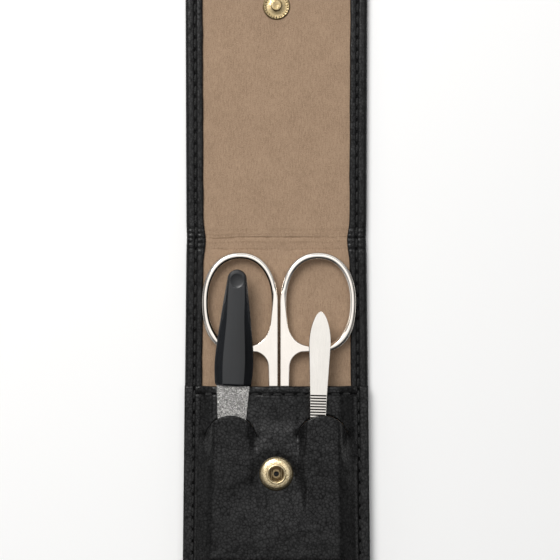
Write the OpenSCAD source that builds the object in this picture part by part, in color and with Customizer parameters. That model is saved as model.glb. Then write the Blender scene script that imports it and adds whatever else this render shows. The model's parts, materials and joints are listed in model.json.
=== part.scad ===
// Manicure set in a leather case, drawn with the case lying open on its back.
// X runs across the case, Y towards the flap and Z up; lengths are in millimetres.
// A flap folds over a pocket on two soft folds and is held by a press stud. The pocket holds
// nail scissors, and its front has two half-moon slits that a nail file and tweezers slip through.

/* [Case] */
// Width of the case at the folds
case_w = 54.4; // [52:0.2:66]
// Extra width at the pocket's end
pocket_flare = 2.2; // [0:0.1:4]
// Extra width at the flap's end
flap_flare = 0.6; // [0:0.1:4]
// Length of the back, from the lower fold to the pocket's end
back_len = 104.2; // [102:0.2:126]
// Length of the flap beyond the press stud
flap_past_stud = 14; // [11:0.5:20]
// Radius of the case's corners
corner_r = 9; // [4:0.5:12]
// Width of the leather edge that is turned over the lining
edge_w = 5.2; // [4.5:0.1:6.4]
// Gap that each fold leaves between the stiff panels
fold_gap = 0.3; // [0.2:0.05:0.6]

/* [Sheets] */
// Thickness of the outer leather
leather_t = 0.9; // [0.7:0.05:1.4]
// Thickness of the stiffening board
board_t = 0.5; // [0.4:0.05:1]
// Thickness of the suede lining
lining_t = 0.5; // [0.4:0.05:0.8]
// Thickness of the pared leather where it is turned over
turn_t = 0.7; // [0.5:0.05:1]
// Thickness of the pocket's leather
pocket_t = 0.8; // [0.6:0.05:1]
// Thickness of the pocket's own lining
pocket_lining_t = 0.3; // [0.2:0.05:0.5]

/* [Pocket] */
// From the lower fold to the pocket's top edge
hem_from_fold = 40.5; // [38:0.5:44]
// Depth of the hem, where the pocket's leather is turned to the inside
hem_depth = 3.2; // [2.5:0.1:4]
// From the lower fold to the top of the half-moon slits
slit_from_fold = 49; // [47.5:0.5:51]
// Width of each slit
slit_w = 15.5; // [14.5:0.1:18.6]
// Height of each slit
slit_h = 6.4; // [5:0.1:7]
// Centre of the file's slit, from the case's middle
file_slit_x = -13.65; // [-14.5:0.05:-13]
// Centre of the tweezers' slit, from the case's middle
tweezer_slit_x = 13.9; // [13.2:0.05:14.6]
// How far in from the side seams the pocket front reaches its full height
side_slope = 4.3; // [3.5:0.1:5]
// How far in from the end seam the pocket front reaches its full height
end_slope = 8; // [6:0.5:10]
// Rise of the pocket front below the slits
pocket_rise = 0.65; // [0.4:0.05:1]
// Extra rise over the scissors' screw
middle_rise = 0.5; // [0.45:0.05:0.8]
// Dip of the pocket front under the tweezers
tweezer_dip = 0.4; // [0:0.05:0.4]
// Gap between a tool and the leather it slides past
slide_gap = 0.15; // [0.1:0.05:0.3]

/* [Press stud] */
// From each fold to its half of the press stud
snap_from_fold = 66.5; // [64:0.5:72]
// Outer diameter of the socket
socket_d = 10.2; // [9:0.1:12.5]
// Height of the socket
socket_h = 2.1; // [2:0.1:2.6]
// Mouth of the socket
mouth_d = 4.6; // [4.2:0.1:5.6]
// Thickness of the pressed brass sheet
brass_t = 0.35; // [0.3:0.05:0.42]
// Diameter of the stud's base plate
plate_d = 8.2; // [7.2:0.1:10]
// Thickness of the stud's base plate
plate_t = 0.7; // [0.5:0.05:0.9]
// Widest diameter of the stud
stud_d = 3.3; // [3:0.1:3.6]
// Diameter of the stud's neck
neck_d = 2.3; // [2:0.1:2.6]
// Thickness of the socket's spring wire
wire_d = 0.4; // [0.3:0.05:0.5]
// Beads round the stud's base plate
bead_count = 26; // [16:1:32]

/* [Scissors] */
// Thickness of the closed scissors
scissor_t = 2.6; // [2.4:0.1:3.2]
// Thickness of the finger rings
ring_t = 2.4; // [2:0.1:2.6]
// Outer width of a finger ring
ring_w = 22.8; // [21.5:0.1:23.5]
// Outer length of a finger ring
ring_len = 30.2; // [27:0.1:33]
// Width of a ring's bar
ring_bar = 2.1; // [1.8:0.1:2.6]
// Gap between the two rings and between the two shanks
shank_gap = 0.8; // [0.6:0.05:1.1]
// Width of a shank
shank_w = 2.8; // [2.4:0.1:3.1]
// From the screw to the middle of the rings
ring_from_screw = 42.9; // [40:0.1:44]
// From the screw to the tips
blade_len = 32; // [26:0.5:34]
// Diameter of the joint round the screw
joint_d = 8.4; // [7.6:0.1:9.6]
// Diameter of the screw's shaft
screw_d = 2.2; // [1.8:0.1:2.8]
// Diameter of the screw's head
screw_head_d = 4; // [3.4:0.1:4.8]
// Gap between the two blades
blade_gap = 0.05; // [0.03:0.01:0.1]
// From the lower fold to the screw
screw_from_fold = 58.35; // [58:0.05:60]
// Screw's place across the case
scissor_x = 0.8; // [0:0.1:1]

/* [Nail file] */
// Length of the file from its slit's top to the end of the handle
file_out_len = 43.5; // [42:0.5:45]
// Length of the blade below the slit's top
file_in_len = 40.5; // [34:0.5:42]
// Width of the blade where it leaves the handle
file_w = 9.8; // [8:0.1:10]
// Radius of the blade's tip
file_tip_r = 1.6; // [1:0.1:2.5]
// Thickness of the blade
file_t = 0.7; // [0.5:0.05:0.9]
// Greatest width of the handle
handle_w = 11.7; // [11:0.1:13]
// Greatest thickness of the handle
handle_t = 3.6; // [3:0.1:3.7]
// Length of the blade's tang inside the handle
tang_len = 11; // [8:0.5:14]
// Lean of the file across the case, in degrees
file_lean = 2.2; // [1:0.1:3]

/* [Tweezers] */
// Length of the tweezers above the slit's top
tweezer_out_len = 31; // [29:0.5:33]
// Length of the tweezers below the slit's top
tweezer_in_len = 41; // [36:0.5:42]
// Greatest width of the tweezers
tweezer_w = 6.4; // [5.6:0.1:7]
// Width of the tweezers at the grip
grip_w = 5; // [4.4:0.1:5.4]
// Width of the tips
tip_w = 2.6; // [1.6:0.1:3]
// Thickness of each leg
leg_t = 0.8; // [0.6:0.05:0.96]
// Thickness of each leg at the tips
tip_t = 0.5; // [0.4:0.05:0.6]
// Gap between the tips
tip_gap = 1; // [0.7:0.1:1.1]
// Length of the join at the top of the legs
join_len = 9; // [7:0.5:11]
// Distance from one grip groove to the next
groove_pitch = 0.83; // [0.8:0.01:1]
// Lean of the tweezers across the case, in degrees
tweezer_lean = 1.5; // [0:0.1:2.5]

/* [Hidden] */
$fn = 96;

leather = [0.17, 0.17, 0.17];
suede = [0.65, 0.54, 0.45];
steel = [0.86, 0.86, 0.85];
brass = [0.80, 0.69, 0.42];

eps = 0.01;
lie_gap = 0.2; // under a tool that lies on the case
clear_gap = 0.2; // between a tool and the leather above it
tool_pitch = 2; // the file and the tweezers point down into the pocket by this angle
wall_t = 1.2; // leather outside the sheets, round the edge
board_inset = 0.3; // board inside the wall
board_back = 3; // board short of a fold

// heights of the layers
lining_z = leather_t + board_t + lining_t;
edge_z = lining_z + turn_t;
scissor_z = edge_z + lie_gap;
scissor_mid_z = scissor_z + scissor_t / 2;
scissor_top_z = scissor_z + scissor_t;
lip_z = scissor_top_z + slide_gap; // underside of the pocket front above the slits
front_t = pocket_t + pocket_lining_t;
file_z = lip_z + front_t + slide_gap + file_t / 2; // the file's middle at its slit
join_y = tweezer_out_len - join_len; // the tweezers' legs part below this
join_gap = 0.02;
slit_drop = tip_gap * join_y / (join_y + tweezer_in_len); // how far they have parted at the slit
tweezer_stack = leg_t + join_gap + max(slit_drop + leg_t, tip_gap + tip_t); // from top to bottom
tweezer_z = lip_z - tweezer_dip + front_t + slide_gap + tweezer_stack; // their top at the slit
socket_z = lip_z + pocket_rise + middle_rise + front_t;
snap_gap = 0.1; // between socket and stud plate when the case is shut
closed_z = socket_z + socket_h + snap_gap + plate_t; // the flap's lining then

// places along the case
spine_len = closed_z - 2 * edge_z + lining_z;
flap_len = snap_from_fold + flap_past_stud;
fold_y = back_len - (back_len + spine_len + flap_len) / 2;
flap_fold_y = fold_y + spine_len;
socket_y = fold_y - snap_from_fold;
stud_y = flap_fold_y + snap_from_fold;
slit_y = fold_y - slit_from_fold;
screw_y = fold_y - screw_from_fold;
half_w = case_w / 2;

// where the file and the tweezers cross the top of their slits
file_x = file_slit_x + 0.4;
tweezer_x = tweezer_slit_x - 1.5;

echo(fold_y = fold_y, flap_fold_y = flap_fold_y, edge_z = edge_z, lining_z = lining_z);
echo(socket = [0, socket_y, socket_z], stud = [0, stud_y, lining_z], closed_z = closed_z);
echo(screw = [scissor_x, screw_y, scissor_mid_z], lip_z = lip_z, file_z = file_z);

// ---- sheets of the case ----

// Outline of a stiff panel from y = 0 at its fold to y = len, drawn in on three sides
module leaf(len, flare, inset = 0, start = 0) {
    end_w = half_w + flare / 2 - inset;
    near_w = half_w - inset;
    r = max(corner_r - inset, 0.5);
    lean = atan2(flare / 2, len);
    cx = end_w - (inset + r) * tan(lean) - r / cos(lean);
    cy = len - inset - r;
    side_x = near_w + (end_w - near_w) * start / len;
    tuck = 0.003; // the straight sides end just inside the corner circles
    join = [cx + (r - tuck) * cos(lean), cy - (r - tuck) * sin(lean)];
    top = cy + r - tuck;
    polygon([[side_x, start], join, [cx, top], [-cx, top], [-join[0], join[1]], [-side_x, start]]);
    for (side = [-1, 1]) translate([side * cx, cy]) circle(r);
}

// Leather that wraps a panel: its face, its wall and the edge turned over the lining
module wrapped_leather(len, flare) {
    difference() {
        linear_extrude(edge_z) leaf(len, flare, 0, fold_gap / 2);
        translate([0, 0, leather_t]) linear_extrude(board_t + lining_t) leaf(len, flare, wall_t);
        translate([0, 0, lining_z - eps]) linear_extrude(turn_t + 1) leaf(len, flare, edge_w);
    }
}

module panel_board(len, flare) {
    translate([0, 0, leather_t]) linear_extrude(board_t)
        leaf(len, flare, wall_t + board_inset, board_back);
}

module panel_lining(len, flare) {
    translate([0, 0, leather_t + board_t]) linear_extrude(lining_t)
        leaf(len, flare, wall_t, fold_gap / 2);
}

// The back runs down from the lower fold, the flap up from the upper one
module on_back() { translate([0, fold_y, 0]) mirror([0, 1, 0]) children(); }
module on_flap() { translate([0, flap_fold_y, 0]) children(); }

module back_shell() { color(leather) on_back() wrapped_leather(back_len, pocket_flare); }
module back_board() { color("tan") on_back() panel_board(back_len, pocket_flare); }
module back_lining() { color(suede) on_back() panel_lining(back_len, pocket_flare); }
module flap_shell() { color(leather) on_flap() wrapped_leather(flap_len, flap_flare); }

module flap_board() {
    color("tan") difference() {
        on_flap() panel_board(flap_len, flap_flare);
        translate([0, stud_y, 0]) cylinder(h = edge_z, r = rivet_flange_r + 0.1);
    }
}

module flap_lining() {
    color(suede) difference() {
        on_flap() panel_lining(flap_len, flap_flare);
        translate([0, stud_y, 0]) cylinder(h = edge_z, r = stud_pin_r + 0.05);
    }
}

// Strip between the folds, from one stiff panel to the next
module spine_strip(width, z, t, back = fold_gap / 2) {
    translate([-width / 2, fold_y + back, z]) cube([width, spine_len - 2 * back, t]);
}

module spine_shell() {
    color(leather) difference() {
        spine_strip(case_w, 0, edge_z);
        spine_strip(case_w - 2 * wall_t, leather_t, board_t + lining_t, 0);
        spine_strip(case_w - 2 * edge_w, lining_z - eps, turn_t + 1, 0);
    }
}

module spine_board() {
    color("tan") spine_strip(case_w - 2 * (wall_t + board_inset), leather_t, board_t, 0.8);
}

module spine_lining() {
    color(suede) spine_strip(case_w - 2 * wall_t, leather_t + board_t, lining_t);
}

// ---- pocket front ----

function smooth(t) = let(c = min(max(t, 0), 1)) c * c * (3 - 2 * c);
function plateau(x, middle, half) = smooth((1 - abs(x - middle) / half) / 0.4);
function back_half_w(v) = half_w + pocket_flare / 2 * v / back_len;

// v is the distance down from the lower fold
function arc_v(x, middle) =
    let(r = (slit_w * slit_w / 4 + slit_h * slit_h) / (2 * slit_h), d = min(abs(x - middle), slit_w / 2))
    slit_from_fold + r - sqrt(r * r - d * d);
slit_end_v = slit_from_fold + slit_h;
slit_kerf = 0.12; // how far the two edges of a slit stand apart
function in_slit(x) = abs(x - file_slit_x) < slit_w / 2 - eps
    || abs(x - tweezer_slit_x) < slit_w / 2 - eps;
function split_v(x) = abs(x - file_slit_x) < slit_w / 2 ? arc_v(x, file_slit_x)
    : abs(x - tweezer_slit_x) < slit_w / 2 ? arc_v(x, tweezer_slit_x) : slit_end_v;
function end_v(x) =
    let(over = abs(x) - (back_half_w(back_len) - corner_r))
    over <= 0 ? back_len
    : back_len - corner_r + sqrt(max(corner_r * corner_r - over * over, 0));

// underside that clears a tool whose top is at z when it passes the slit's top
function over_tool(z, v) = z + clear_gap - (v - slit_from_fold) * tan(tool_pitch);
function plain_z(x, v) = lip_z + pocket_rise * smooth((v - slit_from_fold - 1) / 7)
    + middle_rise * plateau(x, scissor_x / 2, 7);
function lip_height(x, v) = plain_z(x, v)
    - tweezer_dip * smooth((x - 8.3) / 2) * smooth((tweezer_slit_x + slit_w / 2 - x) / 2)
        * smooth((slit_end_v - v) / 3);
// the rise over a tool beside the middle one stays off the press stud's seat
function lift(x, v, middle, z) = plateau(x, middle, slit_w / 2) * smooth(abs(x) - socket_d / 2)
    * (over_tool(z, v) - plain_z(middle, v));
function tongue_height(x, v) = plain_z(x, v) + lift(x, v, file_slit_x, file_z + file_t / 2)
    + lift(x, v, tweezer_slit_x, tweezer_z);
function seam_fall(x, v) = smooth((back_half_w(v) - edge_w - abs(x)) / side_slope)
    * smooth((back_len - edge_w - v) / end_slope);
function front_z(x, v, below) = edge_z
    + ((below ? tongue_height(x, v) : lip_height(x, v)) - edge_z) * seam_fall(x, v);

slit_steps = 10;
function slit_stations(middle) = [for (k = [0:slit_steps])
    middle - slit_w / 2 * cos(180 * k / slit_steps)];
edge_steps = 3;
slit_margin = 0.6; // from a slit's outer end to the next station
function edge_station(slit_end, k) = half_w + (slit_end + slit_margin - half_w) * k / edge_steps;
between = (tweezer_slit_x - file_slit_x - slit_w) / 4; // a quarter of the way between the slits
stations = concat([for (k = [0:edge_steps]) -edge_station(slit_w / 2 - file_slit_x, k)],
    slit_stations(file_slit_x),
    [for (k = [1:3]) file_slit_x + slit_w / 2 + between * k],
    slit_stations(tweezer_slit_x),
    [for (k = [edge_steps:-1:0]) edge_station(slit_w / 2 + tweezer_slit_x, k)]);
columns = len(stations);
function is_edge(i) = i <= edge_steps || i >= columns - 1 - edge_steps;

// A sheet of the pocket front between two heights over its underside. Above the slits it
// reaches from the hem to the split; below them it runs on to the end of the case.
module front_sheet(bottom, t, top_v, above_rows, below_rows) {
    rows = above_rows + below_rows + 2;
    function row_v(i, j) = let(x = stations[i], v = split_v(x) + (in_slit(x) ? slit_kerf : 0))
        j <= above_rows ? top_v + (split_v(x) - top_v) * j / above_rows
        : v + (end_v(x) - v) * (j - above_rows - 1) / below_rows;
    function shared(i, j) = j == above_rows + 1 && !in_slit(stations[i]) ? above_rows : j;
    function id(i, j, side) = side * columns * rows + shared(i, j) * columns + i;
    function place(i, j, side) = let(v = row_v(i, j),
        x = stations[i] * (is_edge(i) ? back_half_w(v) / half_w : 1))
        [x, fold_y - v, front_z(x, v, j > above_rows) + bottom + side * t];
    points = [for (side = [0, 1]) for (j = [0:rows - 1]) for (i = [0:columns - 1]) place(i, j, side)];
    cells = [for (j = [0:rows - 2]) if (j != above_rows) for (i = [0:columns - 2]) [i, j]];
    tops = [for (c = cells) let(i = c[0], j = c[1], a = id(i, j, 1), b = id(i + 1, j, 1),
        c2 = id(i + 1, j + 1, 1), d = id(i, j + 1, 1)) each [[a, b, c2], [a, c2, d]]];
    bottoms = [for (c = cells) let(i = c[0], j = c[1], a = id(i, j, 0), b = id(i + 1, j, 0),
        c2 = id(i + 1, j + 1, 0), d = id(i, j + 1, 0)) each [[a, c2, b], [a, d, c2]]];
    function wall(p, q) = [[p[1], p[0], q[0]], [p[1], q[0], q[1]]];
    function post(i, j) = [id(i, j, 0), id(i, j, 1)];
    hem = [for (i = [0:columns - 2]) each wall(post(i, 0), post(i + 1, 0))];
    end = [for (i = [0:columns - 2]) each wall(post(i + 1, rows - 1), post(i, rows - 1))];
    sides = [for (j = [0:rows - 2]) if (j != above_rows)
        each concat(wall(post(0, j + 1), post(0, j)), wall(post(columns - 1, j), post(columns - 1, j + 1)))];
    slits = [for (i = [0:columns - 2]) if (in_slit((stations[i] + stations[i + 1]) / 2))
        each concat(wall(post(i + 1, above_rows), post(i, above_rows)),
            wall(post(i, above_rows + 1), post(i + 1, above_rows + 1)))];
    polyhedron(points, concat(tops, bottoms, hem, end, sides, slits));
}

module rivet_hole() {
    translate([0, socket_y, edge_z]) cylinder(h = socket_z, r = rivet_r + 0.05, $fn = 24);
}

module pocket_front() {
    color(leather) difference() {
        front_sheet(pocket_lining_t, pocket_t, hem_from_fold, 4, 11);
        rivet_hole();
    }
}

module pocket_lining() {
    color([0.1, 0.1, 0.1]) difference() {
        front_sheet(0, pocket_lining_t - eps, hem_from_fold + hem_depth, 3, 11);
        rivet_hole();
    }
}

// ---- press stud ----

rivet_flange_r = 3.2;
seat_gap = 0.03; // the pocket front is not quite flat under the rivet's flange
rivet_r = 1.45;
rivet_bore_r = 0.8;
stud_pin_r = 0.7;
lip_r = 0.35; // of the lip rolled round the socket's mouth
well_r = mouth_d / 2 + 2 * lip_r - 0.04; // chamber under the lip
spring_z = socket_h - lip_r - wire_d / 2;
rivet_rim = brass_t + 0.25; // top of the turned-over rim, from the socket's seat
stud_pin_len = 0.7; // how far the stud's pin reaches past its plate

// Low dome with a lip rolled round its mouth and a chamber for the spring
module snap_socket() {
    outer_r = socket_d / 2;
    mouth_r = mouth_d / 2;
    lip_y = socket_h - lip_r;
    color(brass) translate([0, socket_y, socket_z]) rotate_extrude() difference() {
        union() {
            polygon([[0, 0], [outer_r - 0.15, 0], [outer_r, 0.2], [outer_r, 0.55],
                [outer_r - 0.25, 0.8], [outer_r * 0.84, 1.2], [outer_r * 0.72, 1.46],
                [mouth_r + 2 * lip_r + 0.1, lip_y - 0.05], [mouth_r + 2 * lip_r, lip_y], [0, lip_y]]);
            translate([mouth_r + lip_r, lip_y]) circle(lip_r, $fn = 32);
        }
        translate([0, brass_t]) square([well_r, lip_y - brass_t]);
        translate([0, brass_t]) square([mouth_r, socket_h]);
        translate([0, -1]) square([rivet_r + 0.02, socket_h]);
    }
}

// Two bent wires in the socket's chamber: a straight run of each grips the stud's neck
module socket_spring() {
    run_x = neck_d / 2 + wire_d / 2 + 0.12;
    ring_r = well_r - wire_d / 2 - 0.04;
    run_len = 2 * sqrt(ring_r * ring_r - run_x * run_x);
    color(steel) translate([0, socket_y, socket_z + spring_z]) {
        for (turn = [0, 180]) rotate([0, 0, turn]) {
            sweep = 2 * acos(run_x / ring_r);
            rotate([0, 0, -sweep / 2]) rotate_extrude(angle = sweep)
                translate([ring_r, 0]) circle(wire_d / 2, $fn = 24);
            translate([run_x, -run_len / 2, 0]) rotate([-90, 0, 0])
                cylinder(h = run_len, d = wire_d, $fn = 24);
        }
    }
}

// Hollow rivet: a flange behind the pocket front and a rim turned over in the socket's floor
module socket_rivet() {
    color(brass) translate([0, socket_y, socket_z]) rotate_extrude() difference() {
        union() {
            translate([0, -front_t - brass_t - seat_gap]) square([rivet_flange_r, brass_t]);
            translate([0, -front_t - brass_t]) square([rivet_r, front_t + brass_t + rivet_rim - 0.2]);
            translate([rivet_r - 0.2, rivet_rim - 0.2]) circle(0.2, $fn = 32);
            translate([rivet_bore_r, rivet_rim - 0.3]) square([rivet_r - rivet_bore_r - 0.2, 0.3]);
        }
        translate([0, -5]) square([rivet_bore_r, 10]);
    }
}

module snap_stud() {
    neck_r = neck_d / 2;
    stud_r = stud_d / 2;
    neck_end = plate_t + snap_gap + socket_h - spring_z + wire_d / 2 + 0.03; // past the wires
    stud_top = plate_t + snap_gap + socket_h - rivet_rim - 0.1;
    color(brass) translate([0, stud_y, lining_z]) difference() {
        union() {
            rotate_extrude() polygon([[0, 0], [plate_d / 2 - 0.1, 0], [plate_d / 2, 0.12],
                [plate_d / 2, plate_t * 0.55], [plate_d / 2 - 0.2, plate_t * 0.8],
                [plate_d * 0.36, plate_t * 0.62], [neck_r + 1.1, plate_t * 0.62],
                [neck_r + 0.25, plate_t], [neck_r, plate_t + 0.18], [neck_r, neck_end],
                [stud_r, neck_end + 0.15], [stud_r, stud_top - 0.2], [stud_r - 0.25, stud_top],
                [0, stud_top]]);
            for (k = [0:bead_count - 1]) rotate([0, 0, 360 * k / bead_count])
                translate([plate_d * 0.43, 0, plate_t * 0.62]) sphere(0.3, $fn = 24);
        }
        translate([0, 0, -1]) cylinder(h = 1 + plate_t + stud_pin_len + 0.1, r = stud_pin_r);
    }
}

// Headed pin from behind the flap's lining into the stud
module stud_rivet() {
    color(brass) translate([0, stud_y, 0]) {
        translate([0, 0, leather_t]) cylinder(h = board_t, r = rivet_flange_r);
        translate([0, 0, leather_t])
            cylinder(h = board_t + lining_t + plate_t + stud_pin_len, r = stud_pin_r);
    }
}

// ---- scissors ----

half_t = (scissor_t - blade_gap) / 2;
ring_x = ring_w / 2 + shank_gap / 2;
ring_stops = 44; // cross-sections round a ring
web_r = 4.8; // hollow between shank and ring
joint_clear = 0.15;

// Centre of a circle of radius r through p and q, on the left of the way from p to q
function arc_centre(p, q, r) = let(d = q - p, half = norm(d) / 2)
    (p + q) / 2 + [-d[1], d[0]] / norm(d) * sqrt(r * r - half * half);

module bar_section(w, t, r) {
    square([w - 2 * r, t], center = true);
    square([w, t - 2 * r], center = true);
    for (x = [-1, 1]) for (y = [-1, 1]) translate([x * (w / 2 - r), y * (t / 2 - r)]) circle(r, $fn = 32);
}

// Middle line of a finger ring: an oval with slightly squared ends
function rounded(t, half) = half * sign(t) * pow(abs(t), 0.86);
function ring_point(a) =
    [rounded(cos(a), (ring_w - ring_bar) / 2), rounded(sin(a), (ring_len - ring_bar) / 2)];
function ring_normal(a) =
    let(d = ring_point(a + 1) - ring_point(a - 1)) [d[1], -d[0]] / norm(d);
function ring_stop(k) = 360 * (k + 0.5) / ring_stops;

// A finger ring's bar: a rounded section carried round the middle line
module ring_bars() {
    section = [for (a = [15:30:345])
        [ring_bar / 2 * sign(cos(a)) * pow(abs(cos(a)), 0.62),
            ring_t / 2 * sign(sin(a)) * pow(abs(sin(a)), 0.62)]];
    n = len(section);
    points = [for (k = [0:ring_stops - 1]) for (p = section)
        let(c = ring_point(ring_stop(k)), out = ring_normal(ring_stop(k)) * p[0])
        [c[0] + out[0], c[1] + out[1], p[1]]];
    faces = [for (k = [0:ring_stops - 1]) for (i = [0:n - 1])
        let(k2 = (k + 1) % ring_stops, i2 = (i + 1) % n)
        each [[k * n + i, k2 * n + i2, k2 * n + i], [k * n + i, k * n + i2, k2 * n + i2]]];
    polyhedron(points, faces);
}

// Flat web that joins the ring's lower inner quarter to the shank
module web_outline() {
    inner_x = shank_gap / 2;
    outer_x = inner_x + shank_w;
    fillet_y = ring_from_screw - ring_len / 2 - web_r + 0.4;
    difference() {
        translate([inner_x, fillet_y]) square([ring_w * 0.42, ring_len * 0.42]);
        translate([outer_x + web_r, fillet_y]) circle(web_r);
        translate([outer_x + web_r, fillet_y - 1]) square([ring_w, web_r + 1]);
        translate([ring_x, ring_from_screw])
            polygon([for (k = [0:ring_stops - 1]) ring_point(ring_stop(k))]);
    }
}

// Blade that lies left of the middle line and cuts along its right edge
module blade_outline() {
    tip = [0.3, -blade_len];
    heel = [-joint_d * 0.46, 0];
    edge = [joint_d * 0.3, 0];
    back_r = 105; // curve of the blade's back
    edge_r = 260; // curve of its cutting edge
    intersection() {
        translate(arc_centre(heel, tip, back_r)) circle(back_r, $fn = 720);
        translate(arc_centre(tip, edge, edge_r)) circle(edge_r, $fn = 1440);
        translate([-joint_d, -blade_len - 1]) square([2 * joint_d, blade_len + 1]);
    }
}

// One half: the ring and shank right of the middle line, the blade left of it
module scissor_half() {
    inner_x = shank_gap / 2;
    difference() {
        union() {
            translate([0, 0, -scissor_t / 2]) linear_extrude(half_t) {
                circle(d = joint_d);
                blade_outline();
                translate([inner_x, 0]) square([shank_w, joint_d * 0.6]);
            }
            difference() {
                union() {
                    translate([ring_x, ring_from_screw, 0]) ring_bars();
                    translate([inner_x + shank_w / 2, 0, 0]) rotate([-90, 0, 0])
                        linear_extrude(ring_from_screw - 4) bar_section(shank_w, ring_t, 0.45);
                    translate([0, 0, -ring_t / 2 + 0.15]) linear_extrude(ring_t - 0.3) web_outline();
                }
                cylinder(h = 2 * scissor_t, r = joint_d / 2 + joint_clear, center = true);
            }
        }
        cylinder(h = 3 * scissor_t, d = screw_d + 0.1, center = true);
        translate([joint_d * 0.3, -joint_d * 0.5, -scissor_t / 2]) rotate([0, 0, 4])
            rotate([0, 28, 0]) translate([-0.4, -blade_len, -1.6]) cube([4, blade_len, 1.6]);
    }
}

module at_screw() { translate([scissor_x, screw_y, scissor_mid_z]) children(); }
module scissor_blade_right() { color(steel) at_screw() scissor_half(); }

// The other half is the same, turned over about the long axis
module scissor_blade_left() { color(steel) at_screw() rotate([0, 180, 0]) scissor_half(); }

module scissor_screw() {
    head_h = 0.35;
    color(steel) at_screw() difference() {
        union() {
            translate([0, 0, -scissor_t / 2]) cylinder(h = scissor_t + 0.1, d = screw_d);
            translate([0, 0, scissor_t / 2 + 0.03]) rotate_extrude()
                polygon([[0, 0], [screw_head_d / 2 - 0.05, 0], [screw_head_d / 2, 0.08],
                    [screw_head_d / 2 - 0.2, head_h - 0.03], [0, head_h - 0.03]]);
        }
        translate([0, 0, scissor_t / 2 + head_h]) rotate([0, 0, 35])
            cube([screw_head_d + 1, 0.5, 0.4], center = true);
    }
}

// ---- nail file ----

handle_from = hem_from_fold - 0.3; // the handle ends just above the pocket's hem
handle_y = slit_from_fold - handle_from;
handle_len = file_out_len - handle_y;
end_round = 2.95; // length of the handle's round end
end_w = 5.9; // width there
facet_share = 0.56; // width of the flat facet, as a share of the handle

module at_file() { translate([file_x, slit_y, file_z]) rotate([tool_pitch, 0, -file_lean]) children(); }

// half-width and half-thickness of the handle at a height y over its lower end
function handle_half_w(y) =
    let(top = handle_len - end_round, widest = 7)
    y > top ? end_w / 2 * sqrt(max(1 - ((y - top) / end_round) ^ 2, 0.02))
    : y > widest ? handle_w / 2 + (end_w - handle_w) / 2 * pow((y - widest) / (top - widest), 1.25)
    : handle_w / 2 - 0.38 * ((widest - y) / widest) ^ 2;
function handle_half_t(y) =
    let(top = handle_len - end_round)
    handle_t / 2 * (1 - 0.34 * pow(max(y - 5, 0) / handle_len, 1.1))
        * (y > top ? sqrt(max(1 - 0.75 * ((y - top) / end_round) ^ 2, 0.02)) : 1)
        * (y < 1 ? 0.82 + 0.18 * y : 1);
handle_stops = concat([0, 0.5, 1, 3], [for (k = [1:8]) 3 + (handle_len - end_round - 3) * k / 8],
    [for (a = [20:14:90]) handle_len - end_round + end_round * sin(a)], [handle_len]);
function handle_ring(y) =
    let(w = handle_half_w(y), h = handle_half_t(y), f = w * facet_share)
    [[f, h], [f + (w - f) * 0.55, h * 0.78], [w - 0.12, h * 0.3], [w, 0], [w - 0.12, -h * 0.3],
        [f + (w - f) * 0.55, -h * 0.78], [f, -h],
        [-f, -h], [-f - (w - f) * 0.55, -h * 0.78], [0.12 - w, -h * 0.3], [-w, 0], [0.12 - w, h * 0.3],
        [-f - (w - f) * 0.55, h * 0.78], [-f, h]];

// Skin over rings of points along Y, with flat ends
module skin(rings, ys) {
    n = len(rings[0]);
    m = len(rings);
    points = [for (j = [0:m - 1]) for (p = rings[j]) [p[0], ys[j], p[1]]];
    sides = [for (j = [0:m - 2]) for (i = [0:n - 1]) let(k = (i + 1) % n)
        each [[j * n + i, j * n + k, (j + 1) * n + k], [j * n + i, (j + 1) * n + k, (j + 1) * n + i]]];
    ends = concat([for (i = [1:n - 2]) [0, i + 1, i]],
        [for (i = [1:n - 2]) [(m - 1) * n, (m - 1) * n + i, (m - 1) * n + i + 1]]);
    polyhedron(points, concat(sides, ends));
}

module file_handle() {
    rest_r = 6.5; // hollow for the thumb at the handle's end
    rest_y = handle_len - 3.3;
    color([0.14, 0.15, 0.16]) at_file() translate([0, handle_y, 0]) difference() {
        skin([for (y = handle_stops) handle_ring(y)], handle_stops);
        translate([0, rest_y, handle_half_t(rest_y) + rest_r - 0.5]) sphere(rest_r);
        translate([-file_w / 2 + 0.5, -1, -file_t / 2]) cube([file_w - 1, tang_len + 1, file_t]);
    }
}

module file_blade() {
    tip_y = file_tip_r - file_in_len;
    color([0.62, 0.61, 0.6]) at_file() translate([0, 0, -file_t / 2]) linear_extrude(file_t) {
        polygon([[-file_w / 2, handle_y - 0.05], [-file_tip_r, tip_y], [file_tip_r, tip_y],
            [file_w / 2, handle_y - 0.05]]);
        translate([0, tip_y]) circle(file_tip_r);
        translate([-file_w / 2 + 0.5, handle_y - 0.5]) square([file_w - 1, tang_len + 0.5]);
    }
}

// ---- tweezers ----

spread = atan2(tip_gap, join_y + tweezer_in_len); // angle between the legs
widest_y = tweezer_out_len - 9.7;
grip_y = slit_from_fold - hem_from_fold - 2.6;
groove_depth = 0.14;

module at_tweezers() {
    translate([tweezer_x, slit_y, tweezer_z]) rotate([tool_pitch, 0, -tweezer_lean]) children();
}

// Flat shape of a leg: a pointed arch at the top, narrowing to a slanted tip
module leg_outline() {
    crown = tweezer_out_len - widest_y;
    half = tweezer_w / 2;
    arch_r = (half * half + crown * crown) / (2 * half);
    intersection() {
        translate([half - arch_r, widest_y]) circle(arch_r);
        translate([arch_r - half, widest_y]) circle(arch_r);
        translate([-half, widest_y - 0.5]) square([tweezer_w, crown + 1]);
    }
    polygon([[-half, widest_y], [-grip_w / 2, grip_y], [-tip_w / 2, 2.2 - tweezer_in_len],
        [tip_w / 2, -tweezer_in_len], [grip_w / 2, grip_y], [half, widest_y]]);
}

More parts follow.
